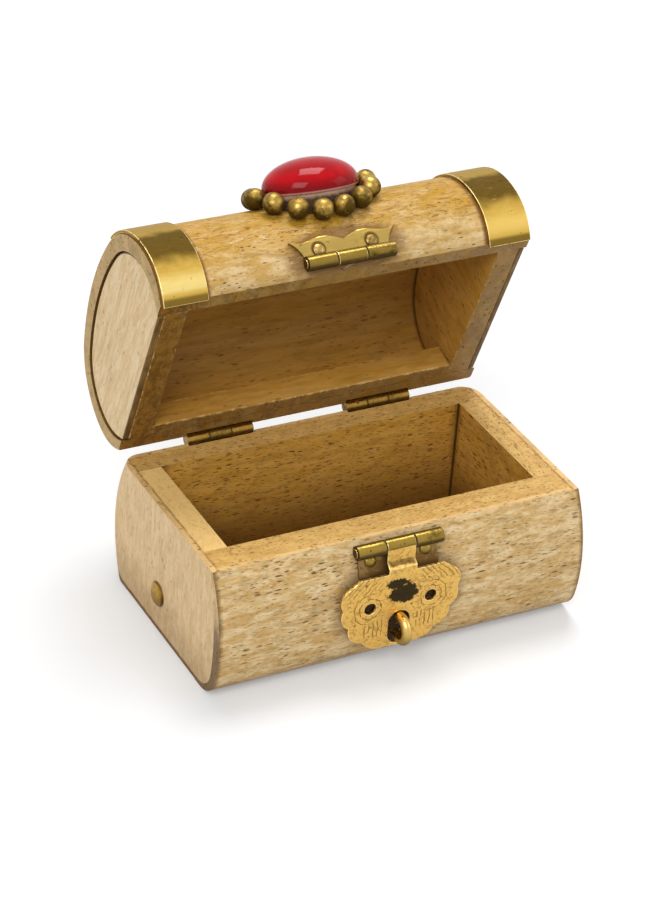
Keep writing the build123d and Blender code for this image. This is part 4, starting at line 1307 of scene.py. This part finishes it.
def lay_floor(stage):
    """Pale floor that keeps the box's shadow and turns white further off."""
    half_width, near, far = 3.0, 0.4, 0.9
    bm = bmesh.new()
    bmesh.ops.create_grid(bm, x_segments=1, y_segments=1, size=half_width)
    mesh = bpy.data.meshes.new("Floor")
    bm.to_mesh(mesh)
    bm.free()
    floor = bpy.data.objects.new("Floor", mesh)
    bpy.context.scene.collection.objects.link(floor)
    paint = bpy.data.materials.new("Pale_floor")
    paint.use_nodes = True
    tree = paint.node_tree
    shader = tree.nodes["Principled BSDF"]
    shader.inputs["Base Color"].default_value = hues().floor
    shader.inputs["Roughness"].default_value = 0.8
    shader.inputs["Specular IOR Level"].default_value = 0.1
    straight, seen = looked_at(tree)
    whiter = object_place(tree).length().ramp(near, far, 0.0, 1 - stage.floor_glow)
    strength = seen * stage.floor_glow + straight * whiter
    glow = put(tree, "ShaderNodeEmission", {"Color": shade.white, "Strength": strength})
    both = put(tree, "ShaderNodeAddShader", {0: field(shader.outputs[0]), 1: field(glow.outputs[0])})
    tree.links.new(both.outputs[0], tree.nodes["Material Output"].inputs[0])
    mesh.materials.append(paint)


def light_room(stage):
    """White all round where it is looked at, an even dim light otherwise, and three lamps."""
    world = bpy.data.worlds.new("Room")
    world.use_nodes = True
    bpy.context.scene.world = world
    back = world.node_tree.nodes["Background"]
    back.inputs["Color"].default_value = shade.white
    strength = looked_at(world.node_tree)[1].ramp(0.0, 1.0, stage.sky, 1.0)
    world.node_tree.links.new(strength.socket, back.inputs["Strength"])
    lamp("Key light", (-0.90, -1.05, 1.45), 1.0, stage.key_power)
    lamp("Fill light", (1.45, -0.80, 0.80), 0.9, stage.fill_power)
    lamp("Top light", (0.36, 0.66, 1.80), 0.9, stage.top_power)


def set_camera(stage):
    """Camera turned, raised and leaned as the photograph's was."""
    turn, rise, lean = stage.azimuth, stage.elevation, stage.roll
    back_way = Vector((sin(turn) * cos(rise), -cos(turn) * cos(rise), sin(rise)))
    level = Vector((cos(turn), sin(turn), 0))
    above = back_way.cross(level)
    right = cos(lean) * level + sin(lean) * above
    up = -sin(lean) * level + cos(lean) * above
    eye = stage.across * right + stage.upward * up + stage.distance * back_way
    data = bpy.data.cameras.new("Camera")
    data.lens = stage.lens
    data.sensor_width = 36
    data.sensor_fit = "HORIZONTAL"
    data.clip_start = 10 * MM
    camera = bpy.data.objects.new("Camera", data)
    camera.matrix_world = Matrix.Translation(eye) @ Matrix((right, up, back_way)).transposed().to_4x4()
    bpy.context.scene.collection.objects.link(camera)
    bpy.context.scene.camera = camera


class CHEST_OT_stage(bpy.types.Operator):
    """Pale floor, soft lights, even room light and the camera."""

    bl_idname = "chest.stage"
    bl_label = "Stage"

    def execute(self, context):
        """Sets everything that is not part of the box."""
        stage = context.scene.chest_stage
        lay_floor(stage)
        light_room(stage)
        set_camera(stage)
        context.scene.view_settings.view_transform = "Standard"
        return {"FINISHED"}


OPERATORS = (CHEST_OT_base_panels, CHEST_OT_base_boards, CHEST_OT_lid_wood, CHEST_OT_lid_end_panels,
             CHEST_OT_lid_caps, CHEST_OT_stone, CHEST_OT_catch, CHEST_OT_back_hinges, CHEST_OT_hasp,
             CHEST_OT_end_tacks, CHEST_OT_stage)


class CHEST_PT_pieces(bpy.types.Panel):
    """Lists the pieces in the sidebar."""

    bl_idname = "CHEST_PT_pieces"
    bl_label = "Treasure chest box"
    bl_space_type = "VIEW_3D"
    bl_region_type = "UI"
    bl_category = "Chest"

    def draw(self, context):
        """One button for each operator, then the sizes, colours and stage."""
        for each in OPERATORS:
            self.layout.operator(each.bl_idname)
        for settings in (context.scene.chest_sizes, context.scene.chest_colours, context.scene.chest_stage):
            box = self.layout.box()
            for key in settings.__annotations__:
                box.prop(settings, key)


CLASSES = (ChestSizes, ChestColours, ChestStage, *OPERATORS, CHEST_PT_pieces)


def register():
    """Adds the settings, operators and panel."""
    for each in CLASSES:
        bpy.utils.register_class(each)
    bpy.types.Scene.chest_sizes = bpy.props.PointerProperty(type=ChestSizes)
    bpy.types.Scene.chest_colours = bpy.props.PointerProperty(type=ChestColours)
    bpy.types.Scene.chest_stage = bpy.props.PointerProperty(type=ChestStage)


def unregister():
    """Takes them away again."""
    del bpy.types.Scene.chest_stage, bpy.types.Scene.chest_colours, bpy.types.Scene.chest_sizes
    for each in reversed(CLASSES):
        bpy.utils.unregister_class(each)


def main():
    """Dresses every piece and sets the stage."""
    register()
    bpy.ops.chest.base_panels()
    bpy.ops.chest.base_boards()
    bpy.ops.chest.lid_wood()
    bpy.ops.chest.lid_end_panels()
    bpy.ops.chest.lid_caps()
    bpy.ops.chest.stone()
    bpy.ops.chest.catch()
    bpy.ops.chest.back_hinges()
    bpy.ops.chest.hasp()
    bpy.ops.chest.end_tacks()
    bpy.ops.chest.stage()


if __name__ == "__main__":
    main()
